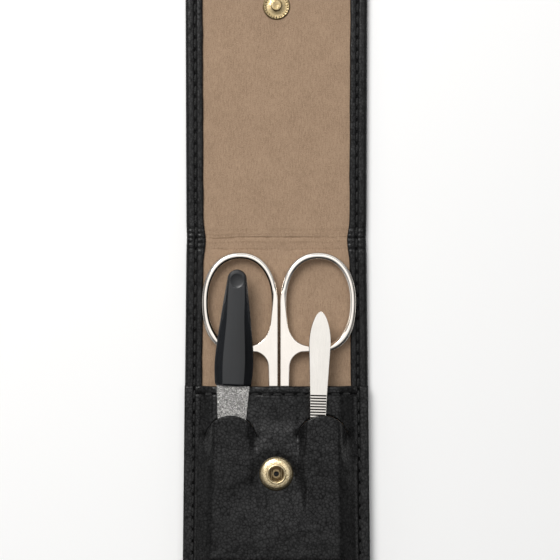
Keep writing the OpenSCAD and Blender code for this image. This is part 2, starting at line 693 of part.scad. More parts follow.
// A leg seen from the side: its outer face at z = outer(y), thinner towards the tip
function leg_thick(y) = leg_t - (leg_t - tip_t) * max(-y, 0) / tweezer_in_len;
function bend_drop(y) = max(join_y - y, 0) * tan(spread);
leg_stops = [-tweezer_in_len - 1, 0, join_y, tweezer_out_len + 1];
groove_count = 14;

module leg(side) {
    reach = 10; // more than the legs' thickness
    intersection() {
        translate([0, 0, -reach]) linear_extrude(2 * reach) leg_outline();
        translate([-tweezer_w, 0, 0]) rotate([90, 0, 90]) linear_extrude(2 * tweezer_w) polygon(side);
    }
}

module grip_grooves(outer_z, sign) {
    groove_w = grip_w - 0.9;
    for (k = [0:groove_count - 1]) let(y = grip_y - 0.35 - k * groove_pitch)
        translate([-groove_w / 2, y, outer_z(y) + (sign > 0 ? -groove_depth : groove_depth - 1)])
            cube([groove_w, groove_pitch * 0.42, 1]);
}

module tweezer_upper_leg() {
    side = concat([for (y = leg_stops) [y, -leg_thick(y)]], [[leg_stops[3], 0], [leg_stops[0], 0]]);
    color(steel) at_tweezers() difference() {
        leg(side);
        grip_grooves(function(y) 0, 1);
    }
}

// The lower leg lies flat on the other at the join and bends away below it
module tweezer_lower_leg() {
    function inner(y) = -leg_t - join_gap - bend_drop(y);
    side = concat([for (y = leg_stops) [y, inner(y) - leg_thick(y)]],
        [for (k = [3:-1:0]) [leg_stops[k], inner(leg_stops[k])]]);
    color(steel) at_tweezers() difference() {
        leg(side);
        grip_grooves(function(y) inner(y) - leg_thick(y), -1);
    }
}

back_shell();
back_board();
back_lining();
spine_shell();
spine_board();
spine_lining();
flap_shell();
flap_board();
flap_lining();
pocket_front();
pocket_lining();
snap_socket();
socket_spring();
socket_rivet();
snap_stud();
stud_rivet();
scissor_blade_left();
scissor_blade_right();
scissor_screw();
file_handle();
file_blade();
tweezer_upper_leg();
tweezer_lower_leg();
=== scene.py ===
import bpy
import json
import math
import numpy as np
from mathutils import Matrix, Vector, noise


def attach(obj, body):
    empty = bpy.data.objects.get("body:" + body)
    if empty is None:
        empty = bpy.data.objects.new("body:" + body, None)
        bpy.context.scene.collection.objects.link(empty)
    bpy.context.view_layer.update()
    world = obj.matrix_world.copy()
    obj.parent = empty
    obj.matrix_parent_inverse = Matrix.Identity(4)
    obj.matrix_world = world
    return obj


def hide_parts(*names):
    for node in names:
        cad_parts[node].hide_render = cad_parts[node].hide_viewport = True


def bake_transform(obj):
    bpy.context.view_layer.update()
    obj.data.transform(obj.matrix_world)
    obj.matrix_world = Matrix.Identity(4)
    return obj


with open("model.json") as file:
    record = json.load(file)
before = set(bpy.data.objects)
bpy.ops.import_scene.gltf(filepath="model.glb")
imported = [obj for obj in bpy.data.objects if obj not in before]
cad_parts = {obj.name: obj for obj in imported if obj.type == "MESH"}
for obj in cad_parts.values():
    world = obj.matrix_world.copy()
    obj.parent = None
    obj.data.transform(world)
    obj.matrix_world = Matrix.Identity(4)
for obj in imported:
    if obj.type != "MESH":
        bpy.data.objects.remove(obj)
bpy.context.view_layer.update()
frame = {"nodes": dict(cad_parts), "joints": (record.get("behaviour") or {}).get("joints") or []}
nodes = frame["nodes"]
mm = 0.001
joints = {joint["name"]: joint for joint in frame["joints"]}


def jointPlace(name):  # a joint's place in millimetres
    return [value / mm for value in joints[name]["pos_m"]]


foldY, edgeZ = jointPlace("spine_fold")[1:]
flapFoldY = jointPlace("flap_fold")[1]
screwX, screwY, screwZ = jointPlace("scissor_left_swing")
seamInset = 2.95  # from the case's outline to its seam
studAway = 66.5  # from each fold to its half of the press stud

# ---- helpers ----


def pick(*pieces):  # select only these pieces, the first one active
    if bpy.context.object and bpy.context.object.mode != "OBJECT":
        bpy.ops.object.mode_set(mode="OBJECT")
    bpy.ops.object.select_all(action="DESELECT")
    for piece in pieces:
        piece.select_set(True)
    bpy.context.view_layer.objects.active = pieces[0]
    return pieces[0]


def tidyMesh(piece, angle=35, merge=0.0):  # merged, facing outwards, smooth but for sharp edges
    pick(piece)
    bpy.ops.object.mode_set(mode="EDIT")
    bpy.ops.mesh.select_all(action="SELECT")
    if merge:
        bpy.ops.mesh.remove_doubles(threshold=merge * mm)
    bpy.ops.mesh.normals_make_consistent(inside=False)
    bpy.ops.object.mode_set(mode="OBJECT")
    bpy.ops.object.shade_smooth_by_angle(angle=math.radians(angle))
    return piece


def place(piece, matrix):  # moves the mesh, so the object stays at the origin
    piece.data.transform(matrix)
    piece.data.update()
    return piece


def pointsOf(piece):
    spots = np.zeros(len(piece.data.vertices) * 3)
    piece.data.vertices.foreach_get("co", spots)
    return spots.reshape(-1, 3)


def setPoints(piece, spots):
    piece.data.vertices.foreach_set("co", np.asarray(spots, float).ravel())
    piece.data.update()


def keepPlaces(piece):  # remembers where each point lies at rest
    keep = piece.data.attributes.new("restPlace", "FLOAT_VECTOR", "POINT")
    keep.data.foreach_set("vector", pointsOf(piece).astype(np.float32).ravel())


def keepShares(piece, name, shares):  # a number from 0 to 1 for each point
    piece.data.attributes.new(name, "FLOAT", "POINT").data.foreach_set("value", np.array(shares, np.float32))


def added(operator, **settings):  # a new primitive, with nothing else selected
    bpy.ops.object.select_all(action="DESELECT")
    operator(**settings)
    return bpy.context.object


def arcPoints(middle, radius, start, end, count):
    turns = [math.radians(start + (end - start) * k / count) for k in range(count + 1)]
    return [(middle[0] + radius * math.cos(turn), middle[1] + radius * math.sin(turn)) for turn in turns]


def softMesh(name, spots, faces, angle=35, paintedSeamShade=None):  # a soft piece from points in millimetres
    mesh = bpy.data.meshes.new(name)
    mesh.from_pydata([tuple(value * mm for value in spot) for spot in spots], [], faces)
    piece = bpy.data.objects.new(name, mesh)
    bpy.context.scene.collection.objects.link(piece)
    tidyMesh(piece, angle)
    keepPlaces(piece)
    if paintedSeamShade:  # painted shade: how near each point is to a row of stitches, and on the pocket to the ends of the slits
        keepShares(piece, "seam", paintedSeamShade)
    return piece


def drawnBar(name, rings):  # a bar drawn through rings of points, closed at both ends
    count = len(rings[0])
    piece = added(bpy.ops.mesh.primitive_circle_add, vertices=count, radius=mm, fill_type="NGON")
    piece.name = name
    bpy.ops.object.mode_set(mode="EDIT")
    for _ in rings[1:]:
        bpy.ops.mesh.extrude_region_move(TRANSFORM_OT_translate={"value": (0, 0, mm)})
    bpy.ops.object.mode_set(mode="OBJECT")
    setPoints(piece, np.array([spot for ring in rings for spot in ring]) * mm)
    return tidyMesh(piece)


def spunPiece(name, loop, at, steps=96, angle=32):  # a loop of (radius, height) spun round Z
    piece = added(bpy.ops.mesh.primitive_circle_add, vertices=len(loop), radius=mm, fill_type="NOTHING")
    piece.name = name
    setPoints(piece, np.array([(radius, 0, height) for radius, height in loop]) * mm)
    bpy.ops.object.mode_set(mode="EDIT")
    bpy.ops.mesh.select_all(action="SELECT")
    bpy.ops.mesh.spin(steps=steps, angle=2 * math.pi, center=(0, 0, 0), axis=(0, 0, 1))
    bpy.ops.object.mode_set(mode="OBJECT")
    tidyMesh(piece, angle, merge=0.002)
    return place(piece, Matrix.Translation(Vector(at) * mm))


def cutPlate(name, outline, depth, bevel, steps=4):  # a flat plate with rounded edges
    curve = bpy.data.curves.new(name, "CURVE")
    curve.dimensions = "2D"
    curve.fill_mode = "BOTH"
    spline = curve.splines.new("POLY")
    spline.points.add(len(outline) - 1)
    spline.use_cyclic_u = True
    for point, spot in zip(spline.points, outline):
        point.co = (spot[0] * mm, spot[1] * mm, 0, 1)
    curve.extrude = (depth / 2 - bevel) * mm
    curve.bevel_depth = bevel * mm
    curve.bevel_resolution = steps
    curve.offset = -bevel * mm
    piece = bpy.data.objects.new(name, curve)
    bpy.context.scene.collection.objects.link(piece)
    pick(piece)
    bpy.ops.object.convert(target="MESH")
    return tidyMesh(bpy.context.object, 5, merge=0.001)


def copyOf(piece, name):
    twin = piece.copy()
    twin.data = piece.data.copy()
    twin.name = name
    bpy.context.scene.collection.objects.link(twin)
    return twin


def joined(name, pieces):
    pick(*pieces)
    if len(pieces) > 1:
        bpy.ops.object.join()
    pieces[0].name = name
    return pieces[0]


def smooth(value):
    value = min(max(value, 0.0), 1.0)
    return value * value * (3 - 2 * value)


def bump(value, middle, width):
    return math.exp(-(((value - middle) / width) ** 2))


def wander(x, y, size, seed=0.0):  # smooth noise from -1 to 1 with waves about size long
    return noise.noise(Vector((x / size, y / size, seed)))


# ---- materials ----


class Wire:  # a socket that can be used in sums
    def __init__(self, tree, socket):
        self.tree, self.socket = tree, socket

    def sum(self, kind, *values):
        step = self.tree.nodes.new("ShaderNodeMath")
        step.operation = kind
        for slot, value in zip(step.inputs, values):
            if isinstance(value, Wire):
                self.tree.links.new(value.socket, slot)
            else:
                slot.default_value = value
        return Wire(self.tree, step.outputs[0])

    def __add__(self, other):
        return self.sum("ADD", self, other)

    def __radd__(self, other):
        return self.sum("ADD", other, self)

    def __sub__(self, other):
        return self.sum("SUBTRACT", self, other)

    def __rsub__(self, other):
        return self.sum("SUBTRACT", other, self)

    def __mul__(self, other):
        return self.sum("MULTIPLY", self, other)

    def __truediv__(self, other):
        return self.sum("DIVIDE", self, other)


def setStops(ramp, stops):  # (place, tone or colour) along a colour ramp
    while len(ramp.elements) < len(stops):
        ramp.elements.new(0.5)
    for element, (spot, tone) in zip(ramp.elements, stops):
        element.position = spot
        element.color = tone if hasattr(tone, "__len__") else (tone, tone, tone, 1)


class Finish:  # one material and its nodes
    def __init__(self, name, **fixed):
        self.material = bpy.data.materials.new(name)
        self.material.use_nodes = True
        self.tree = self.material.node_tree
        self.shader = self.tree.nodes["Principled BSDF"]
        for socket, value in fixed.items():
            self.shader.inputs[socket.replace("_", " ")].default_value = value

    def node(self, kind, settings=None, sockets=None, out=0):
        step = self.tree.nodes.new(kind)
        for key, value in (settings or {}).items():
            if key == "stops":
                setStops(step.color_ramp, value)
            else:
                setattr(step, key, value)
        for key, value in (sockets or {}).items():
            slot = step.inputs[key]
            if isinstance(value, Wire):
                self.tree.links.new(value.socket, slot)
            else:
                slot.default_value = value
        return Wire(self.tree, step.outputs[out])

    def spots(self, rest=False):  # where on the piece: its own coordinates, in metres
        if rest:
            return self.attribute("restPlace", 1)
        return self.node("ShaderNodeTexCoord", out=3)

    def attribute(self, name, out=2):
        return self.node("ShaderNodeAttribute", {"attribute_name": name}, out=out)

    def cells(self, spots, scale, settings=None, out=0):
        return self.node("ShaderNodeTexVoronoi", settings, {"Vector": spots, "Scale": scale}, out)

    def fromAxis(self, spots, middle):  # how far from an upright axis
        away = self.node("ShaderNodeVectorMath", {"operation": "SUBTRACT"}, {0: spots, 1: middle})
        away = self.node("ShaderNodeVectorMath", {"operation": "MULTIPLY"}, {0: away, 1: (1, 1, 0)})
        return self.node("ShaderNodeVectorMath", {"operation": "LENGTH"}, {0: away}, out=1)

    def stretched(self, spots, scale, turn=0.0):
        return self.node("ShaderNodeMapping", {}, {"Vector": spots, "Scale": scale, "Rotation": (0, 0, turn)})

    def noise(self, spots, scale, detail=2.0, roughness=0.5):
        return self.node("ShaderNodeTexNoise", {}, {"Vector": spots, "Scale": scale, "Detail": detail,
            "Roughness": roughness})

    def ramp(self, value, stops):
        return self.node("ShaderNodeValToRGB", {"stops": stops}, {"Fac": value})

    def mix(self, share, first, second):
        return self.node("ShaderNodeMix", {"data_type": "RGBA"}, {0: share, 6: first, 7: second}, out=2)

    def warp(self, spots, scale, amount):  # shifts the pattern about by a little noise
        shift = self.node("ShaderNodeTexNoise", {}, {"Vector": spots, "Scale": scale, "Detail": 2.0}, out=1)
        shift = self.node("ShaderNodeVectorMath", {"operation": "SUBTRACT"}, {0: shift, 1: (0.5, 0.5, 0.5)})
        shift = self.node("ShaderNodeVectorMath", {"operation": "SCALE"}, {0: shift, "Scale": amount})
        return self.node("ShaderNodeVectorMath", {"operation": "ADD"}, {0: spots, 1: shift})

    def relief(self, height, depth):
        self.join("Normal", self.node("ShaderNodeBump", {},
            {"Height": height, "Distance": depth, "Strength": 1.0}))

    def join(self, socket, value):
        self.tree.links.new(value.socket, self.shader.inputs[socket])


def leatherFinish(name, grain, base):
    look = Finish(name, Specular_IOR_Level=0.06, Coat_Roughness=base["coatRough"], Coat_IOR=1.5)
    rest = look.spots(True)
    spots = look.warp(look.warp(rest, 420, 0.0012), 1300, 0.0003)
    edges = look.cells(spots, grain["scale"], {"feature": "DISTANCE_TO_EDGE"})
    pebble = look.ramp(edges, [(0.0, 0.0), (0.08, 0.35), (0.2, 0.72), (0.35, 0.92), (0.55, 1.0)])
    domes = look.cells(spots, grain["scale"])
    pebble = pebble * 0.5 + (1 - domes * domes) * 0.5
    small = look.cells(spots, grain["scale"] * 1.9)
    small = 1 - small * small
    fine = look.noise(look.stretched(spots, (2600, 1500, 2600), 0.7), 1.0, 4.0, 0.65)
    worn = look.noise(rest, 210, 4.0, 0.6)
    seam = look.attribute("seam")
    height = pebble * grain["big"] + small * grain["small"] + fine * grain["fine"]
    look.relief(height, grain["depth"] * mm)
    # painted shade: the base colour runs from dark in the grain's valleys to light on its tops
    tops = look.ramp(pebble * 0.4 + small * 0.15 + fine * 0.45, [(0.3, 0.15), (0.55, 0.55), (0.75, 1.0)])
    tone = look.mix(tops, base["dark"], base["light"])
    tone = look.mix(look.ramp(worn, [(0.42, 0.0), (0.7, 0.6)]), tone, base["worn"])
    patches = look.ramp(look.noise(rest, 900), [(0.35, 0.15), (0.65, 0.9)])
    # painted shade: the grain's cracks darkened to near black, in broken patches
    crackShade = look.ramp(edges, [(0.0, 1.0), (0.1, 0.0)]) * patches
    tone = look.mix(crackShade, tone, (0.001, 0.001, 0.001, 1))
    # painted shade: the leather darkened to near black along the stitch channels and at the slit ends, by the seam
    # share
    look.join("Base Color", look.mix(seam, tone, (0.0008, 0.0008, 0.0008, 1)))
    look.join("Coat Weight", (tops * base["gloss"] + 0.06) * (1 - seam) * (0.6 + worn * 0.8) * (1 - crackShade * 0.6))
    look.join("Roughness", 0.7 - tops * 0.15)
    return look.material


def suedeFinish(name, base):
    look = Finish(name, Roughness=0.95, Specular_IOR_Level=0.12, Sheen_Weight=0.35, Sheen_Roughness=0.45)
    spots = look.spots(True)
    nap = look.noise(look.warp(spots, 900, 0.0005), 4200, 3.0, 0.7)
    streaks = look.noise(look.stretched(spots, (2600, 520, 2600)), 1.0, 3.0, 0.6)
    crossStreaks = look.noise(look.stretched(spots, (520, 2600, 2600)), 1.0, 2.0, 0.5)
    cloud = look.noise(spots, 190, 4.0, 0.55)
    shade = nap * 0.66 + streaks * 0.3 + crossStreaks * 0.05 + cloud * 0.15
    tone = look.mix(look.ramp(shade, [(0.45, 0.0), (0.7, 1.0)]), base["low"], base["high"])
    across = look.node("ShaderNodeSeparateXYZ", {}, {"Vector": spots}, out=1) / mm
    bend = (look.noise(spots, 140, 3.0) - 0.5) * 1.6
    for middle, reach, share in base["creases"]:  # painted shade: darkened lines in the creases where the lining has been folded
        line = across - middle + bend
        line = look.ramp(line.sum("ABSOLUTE", line) / reach, [(0.0, share), (1.0, 0.0)])
        broken = look.ramp(look.noise(spots, 170 + middle * 9, 2.0), [(0.36, 0.15), (0.6, 1.0)])
        tone = look.mix(line * broken, tone, base["creaseShade"])
    look.join("Base Color", tone)
    look.relief(nap * 0.6 + streaks * 0.4, 0.09 * mm)
    return look.material


def metalFinish(name, tone, dark, rough, grainScale=2500, stretch=(1, 1, 1), depth=0.0, shadeGrooves=False):
    look = Finish(name, Metallic=1.0)
    spots = look.spots()
    smear = look.noise(spots, 160, 4.0, 0.6)
    grain = look.noise(look.stretched(spots, tuple(grainScale * share for share in stretch)), 1.0, 3.0, 0.6)
    tone = look.mix(look.ramp(smear * 0.6 + grain * 0.4, [(0.3, 0.0), (0.7, 1.0)]), dark, tone)
    if shadeGrooves:  # painted shade: darker base colour down in the grooves
        tone = look.mix(look.attribute("groove"), tone, (0.05, 0.045, 0.04, 1))
    look.join("Base Color", tone)
    look.join("Roughness", rough[0] + look.ramp(smear, [(0.35, 0.0), (0.7, 1.0)]) * (rough[1] - rough[0]))
    if depth:
        look.relief(grain, depth * mm)
    return look.material


def brassFinish(name, base):
    look = Finish(name, Metallic=1.0)
    spots = look.spots()
    mottle = look.noise(look.warp(spots, 800, 0.0004), 2100, 4.0, 0.7)
    pits = look.cells(spots, 2600.0)
    tone = look.mix(look.ramp(mottle, [(0.36, 0.0), (0.62, 1.0)]), base["low"], base["high"])
    tone = look.mix(look.ramp(pits, [(0.06, 0.55), (0.2, 0.0)]), tone, base["spot"])
    if "mouth" in base:  # painted shade: darker inside the mouth
        middle, reach = base["mouth"]
        inside = look.ramp(look.fromAxis(spots, middle) / reach, [(0.9, 1.0), (1.0, 0.0)])
        tone = look.mix(inside, tone, base["tarnish"])
    look.join("Base Color", tone)
    look.join("Roughness", 0.2 + look.ramp(mottle, [(0.3, 1.0), (0.75, 0.0)]) * 0.2)
    look.relief(mottle * 0.7 + pits * 0.3, base["depth"] * mm)
    return look.material


def plasticFinish(name, hollow):  # rougher in the handle's hollow
    look = Finish(name, Specular_IOR_Level=0.57)
    spots = look.spots()
    fine = look.noise(spots, 3800, 2.0)
    cloud = look.noise(spots, 240, 3.0)
    soft = look.ramp(look.noise(look.stretched(spots, (1, 0.3, 1)), 130, 1.0), [(0.35, 0.0), (0.65, 1.0)])
    look.join("Base Color", look.mix(soft, (0.002, 0.0023, 0.003, 1), (0.0085, 0.0098, 0.012, 1)))
    inside = look.ramp(look.fromAxis(spots, hollow) / (2.7 * mm), [(0.75, 0.4), (1.0, 0.0)])
    look.join("Roughness", 0.17 + cloud * 0.12 + inside)
    look.relief(fine, 0.006 * mm)
    return look.material


def gritFinish(name):
    look = Finish(name)
    spots = look.spots()
    sparks = look.cells(spots, 4300.0, out=1)
    sparks = look.node("ShaderNodeSeparateColor", {}, {"Color": sparks})
    lump = look.cells(spots, 4300.0)
    tone = look.ramp(sparks, [(0.0, (0.11, 0.108, 0.105, 1)), (0.45, (0.25, 0.245, 0.238, 1)),
        (0.8, (0.44, 0.43, 0.415, 1)), (1.0, (0.7, 0.69, 0.67, 1))])
    look.join("Base Color", tone)
    look.join("Metallic", look.ramp(sparks, [(0.0, 0.2), (1.0, 0.75)]))
    look.join("Roughness", 0.62 - sparks * 0.3)
    look.relief(1 - lump, 0.09 * mm)
    return look.material


def threadFinish(name):
    look = Finish(name, Roughness=0.62, Specular_IOR_Level=0.35, Sheen_Weight=0.15)
    spots = look.spots(True)
    strands = look.node("ShaderNodeTexWave", {"bands_direction": "DIAGONAL"},
        {"Vector": spots, "Scale": 900.0, "Distortion": 1.5, "Detail": 1.0})
    look.join("Base Color", look.mix(strands, (0.0012, 0.0012, 0.0013, 1), (0.004, 0.004, 0.0042, 1)))
    look.relief(strands, 0.05 * mm)
    return look.material


def fibreFinish(name, low, high, scale, stretch=(1, 1, 1)):
    look = Finish(name, Roughness=0.9, Specular_IOR_Level=0.2)
    spots = look.spots()
    fibre = look.noise(look.stretched(spots, tuple(scale * share for share in stretch)), 1.0, 4.0, 0.6)
    look.join("Base Color", look.mix(look.ramp(fibre, [(0.3, 0.0), (0.7, 1.0)]), low, high))
    look.relief(fibre, 0.05 * mm)
    return look.material


def clothFinish(name):
    look = Finish(name, Roughness=0.85, Specular_IOR_Level=0.2, Sheen_Weight=0.1)
    spots = look.spots(True)
    warpThreads = look.node("ShaderNodeTexWave", {"bands_direction": "X"}, {"Vector": spots, "Scale": 800.0})
    weftThreads = look.node("ShaderNodeTexWave", {"bands_direction": "Y"}, {"Vector": spots, "Scale": 800.0})
    weave = warpThreads * 0.5 + weftThreads * 0.5
    look.join("Base Color", look.mix(weave, (0.006, 0.006, 0.006, 1), (0.02, 0.02, 0.02, 1)))
    look.relief(weave, 0.05 * mm)
    return look.material


# dark and light: painted shade in the grain's valleys against its lighter tops
leatherTone = {"dark": (0.0012, 0.0012, 0.0013, 1), "light": (0.0125, 0.0125, 0.0128, 1),
    "worn": (0.016, 0.016, 0.0163, 1), "gloss": 0.62, "coatRough": 0.25}
edgeTone = {"dark": (0.0014, 0.0014, 0.0015, 1), "light": (0.011, 0.011, 0.0113, 1),
    "worn": (0.014, 0.014, 0.0143, 1), "gloss": 0.54, "coatRough": 0.27}
pebbledLeather = leatherFinish("pebbledLeather",
    {"scale": 1020.0, "big": 0.7, "small": 0.22, "fine": 0.36, "depth": 0.44}, leatherTone)
edgeLeather = leatherFinish("edgeLeather",
    {"scale": 1150.0, "big": 0.5, "small": 0.25, "fine": 0.35, "depth": 0.36}, edgeTone)
# the crease tone and lines: painted shade along the lining's fold creases
tanSuede = suedeFinish("tanSuede", {"low": (0.245, 0.164, 0.107, 1), "high": (0.415, 0.29, 0.196, 1),
    "creaseShade": (0.16, 0.1, 0.06, 1), "creases": [(12.36, 0.32, 0.8), (13.3, 0.4, 0.3),
    (10.9, 0.5, 0.3), (8.76, 0.35, 0.45), (14.6, 0.6, 0.2)]})
nickel = metalFinish("polishedNickel", (0.94, 0.88, 0.81, 1), (0.87, 0.81, 0.74, 1), (0.06, 0.13), 900,
    (1, 0.15, 1))
brightSteel = metalFinish("brightSteel", (0.96, 0.92, 0.86, 1), (0.87, 0.83, 0.77, 1), (0.12, 0.22), 2200,
    (1, 0.08, 1), 0.003, True)
springSteel = metalFinish("springSteel", (0.34, 0.26, 0.15, 1), (0.13, 0.09, 0.05, 1), (0.22, 0.38))
brassTone = {"low": (0.42, 0.31, 0.16, 1), "high": (0.94, 0.8, 0.53, 1), "spot": (0.2, 0.13, 0.055, 1),
    "depth": 0.08}
mottledBrass = brassFinish("mottledBrass", {"low": (0.26, 0.185, 0.085, 1), "high": (0.46, 0.37, 0.22, 1),
    "spot": (0.12, 0.08, 0.035, 1), "depth": 0.05})
# the mouth's darker tone is painted shade inside the socket's well
mouthBrass = brassFinish("mouthBrass", dict(brassTone, mouth=((0, (foldY - studAway) * mm, 0), 2.35 * mm),
    tarnish=(0.1, 0.065, 0.03, 1)))
# a darker copy of the brass for the rivet down in the socket: painted shade
shadedBrass = brassFinish("shadedBrass", {"low": (0.13, 0.09, 0.045, 1), "high": (0.36, 0.27, 0.15, 1),
    "spot": (0.08, 0.05, 0.02, 1), "depth": 0.03})
satinPlastic = plasticFinish("satinPlastic", (-0.0118, -0.0001, 0))
gritCoat = gritFinish("gritCoat")
blackThread = threadFinish("blackThread")
fibreBoard = fibreFinish("fibreBoard", (0.2, 0.15, 0.1, 1), (0.42, 0.34, 0.24, 1), 700, (1, 0.3, 1))
pocketCloth = clothFinish("pocketCloth")


def dress(piece, material, body, slot, *stands):
    piece.data.materials.clear()
    piece.data.materials.append(material)
    if body:
        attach(piece, body)
    if stands:
        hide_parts(*stands)
    return piece


print("materials ready")

# ---- leather case ----

caseShape = {"halfWidth": 27.2, "pocketFlare": 1.1, "flapFlare": 0.3, "backLen": 104.2, "flapLen": 80.5,
    "cornerR": 9.0, "splitY": foldY + 4.2, "rowStep": 0.8, "foldStep": 0.22, "columns": 56}
creases = [(14.9, 0.13, 0.45), (13.45, 0.16, 0.4), (12.1, 0.24, 0.42), (10.6, 0.17, 0.45), (8.8, 0.2, 0.5)]
bendLength = 2.2  # the leather turns over this much each side of a fold

# the turned edge in section: distance in from the outline, and height
edgeSection = [(1.2, 0.02), (0.8, 0.1), (0.45, 0.28), (0.2, 0.55), (0.05, 0.9), (0.0, 1.3), (0.05, 1.7),
    (0.2, 2.05), (0.45, 2.33), (0.8, 2.5), (1.2, 2.58), (1.7, 2.6), (2.2, 2.58), (2.45, 2.5), (2.6, 2.34),
    (2.78, 2.18), (2.95, 2.12), (3.12, 2.18), (3.3, 2.34), (3.45, 2.5), (3.75, 2.57), (4.2, 2.6), (4.7, 2.58),
    (5.0, 2.48), (5.17, 2.3), (5.2, 2.1), (5.2, 1.9), (4.6, 1.9), (1.35, 1.9), (1.35, 1.5), (1.35, 0.92)]


def halfWidthAt(y):
    shape = caseShape
    if y < foldY:
        return shape["halfWidth"] + shape["pocketFlare"] * (foldY - y) / shape["backLen"]
    return shape["halfWidth"] + shape["flapFlare"] * max(y - flapFoldY, 0) / shape["flapLen"]


def sideStations(start, end):  # (place, inward direction) down one side and round its corner
    shape = caseShape
    way = 1 if end > start else -1
    radius = shape["cornerR"]
    turnY = end - way * radius
    turnX = halfWidthAt(end) - radius
    ys = [start]
    while way * (turnY - ys[-1]) > 0.05:
        near = foldY - 2.5 < ys[-1] < flapFoldY + 2.5
        ys.append(ys[-1] + way * (shape["foldStep"] if near else shape["rowStep"]))
    ys[-1] = turnY
    stations = [((halfWidthAt(y) - 0.12 * bump(y, (foldY + flapFoldY) / 2 + 0.4, 2.4), y), (-1.0, 0.0)) for y in ys]
    for angle in np.linspace(6, 90, 15):
        turn = math.radians(angle)
        out = (math.cos(turn), way * math.sin(turn))
        stations.append(((turnX + radius * out[0], turnY + radius * out[1]), (-out[0], -out[1])))
    return stations, way


def creaseDrop(y, x, share=1.0):  # dents across the folds
    total = 0.0
    for middle, depth, width in creases:
        shift = 0.18 * wander(x, middle, 7.0, 3.0)
        total += depth * (0.75 + 0.5 * wander(x, middle * 3, 5.0, 9.0)) * bump(y, middle + shift, width)
    return total * share


def borderLift(x, y, along):  # puckers between stitches and a little unevenness
    return 0.035 * wander(x, y, 6.0, 1.5) + 0.018 * math.cos(2 * math.pi * along / 3.5)


def caseLeather(name, start, end):
    stations, way = sideStations(start, end)
    rows, columns = len(stations), caseShape["columns"]
    shares = [2 * column / columns - 1 for column in range(columns + 1)]

    def grid(depth, height):
        spots = []
        for (x, y), (inX, inY) in stations:
            halfRow, rowY = x + inX * depth, y + inY * depth
            spots += [(share * halfRow, rowY, height(share * halfRow, rowY)) for share in shares]
        return spots

    under = grid(1.2, lambda x, y: 0.02 + creaseDrop(y, x, 0.5))
    inner = grid(1.35, lambda x, y: 0.92)
    spots = under + inner
    width = columns + 1
    cell = lambda row, column, base: base + row * width + column
    faces = []
    for base in (0, len(under)):
        for row in range(rows - 1):
            for column in range(columns):
                faces.append((cell(row, column, base), cell(row, column + 1, base),
                    cell(row + 1, column + 1, base), cell(row + 1, column, base)))
    # the way round: left side, end, right side
    walk = [(row, 0) for row in range(rows)] + [(rows - 1, column) for column in range(1, columns)]
    walk += [(row, columns) for row in range(rows - 1, -1, -1)]
    path, along = [], 0.0
    for row, column in walk:
        (x, y), (inX, inY) = stations[row]
        side = -1 if column == 0 else 1 if column == columns else shares[column]
        if 0 < column < columns:
            here, inward = (side * x, y), (0.0, -float(way))
        else:
            here, inward = (side * x, y), (side * inX, inY)
        if path:
            along += math.dist(here, path[-1][0])
        path.append((here, inward, along))
    ringIds = []
    for (row, column), ((x, y), (inX, inY), along) in zip(walk, path):
        ids = [cell(row, column, 0)]
        for depth, z in edgeSection[1:-1]:
            reach = depth
            if depth > 4.5 and z > 1.85:  # the raw inner edge runs a little unevenly
                reach += 0.6 * bump(y, (foldY + flapFoldY) / 2 - 1, 4.2) * (1 if abs(inX) > 0.5 else 0)
                reach += 0.12 * wander(x + y * 1.3, y, 9.0, 5.0)
            px, py = x + inX * reach, y + inY * reach
            pz = z
            if z > 1.7:
                pz += borderLift(px, py, along) * smooth(depth / 0.8) - creaseDrop(py, px)
            elif z < 0.5:
                pz += creaseDrop(py, px, 0.5)
            if depth < 1 and z > 0.5:
                px += inX * 0.3 * creaseDrop(py, px)
            ids.append(len(spots))
            spots.append((px, py, pz))
        ids.append(cell(row, column, len(under)))
        ringIds.append(ids)
    for left, right in zip(ringIds, ringIds[1:]):
        for k in range(len(left) - 1):
            faces.append((left[k], left[k + 1], right[k + 1], right[k]))
    cap = [cell(0, column, 0) for column in range(width)] + ringIds[-1][1:-1]
    cap += [cell(0, column, len(under)) for column in range(columns, -1, -1)] + ringIds[0][-2:0:-1]
    faces.append(tuple(cap))
    # painted shade along the stitch channel of the turned edge, darkening the leather's colour there
    paintedSeamShade = [0.0] * len(spots)
    for ids, (_, _, along) in zip(ringIds, path):
        for index, (depth, z) in zip(ids, edgeSection[:-1]):
            if z > 1.95:
                paintedSeamShade[index] = 0.85 * bump(depth, seamInset, 0.27)
    return softMesh(name, spots, faces, 50, paintedSeamShade)


liningShape = {"inset": 1.42, "top": 1.88, "bottom": 1.42, "columns": 52}


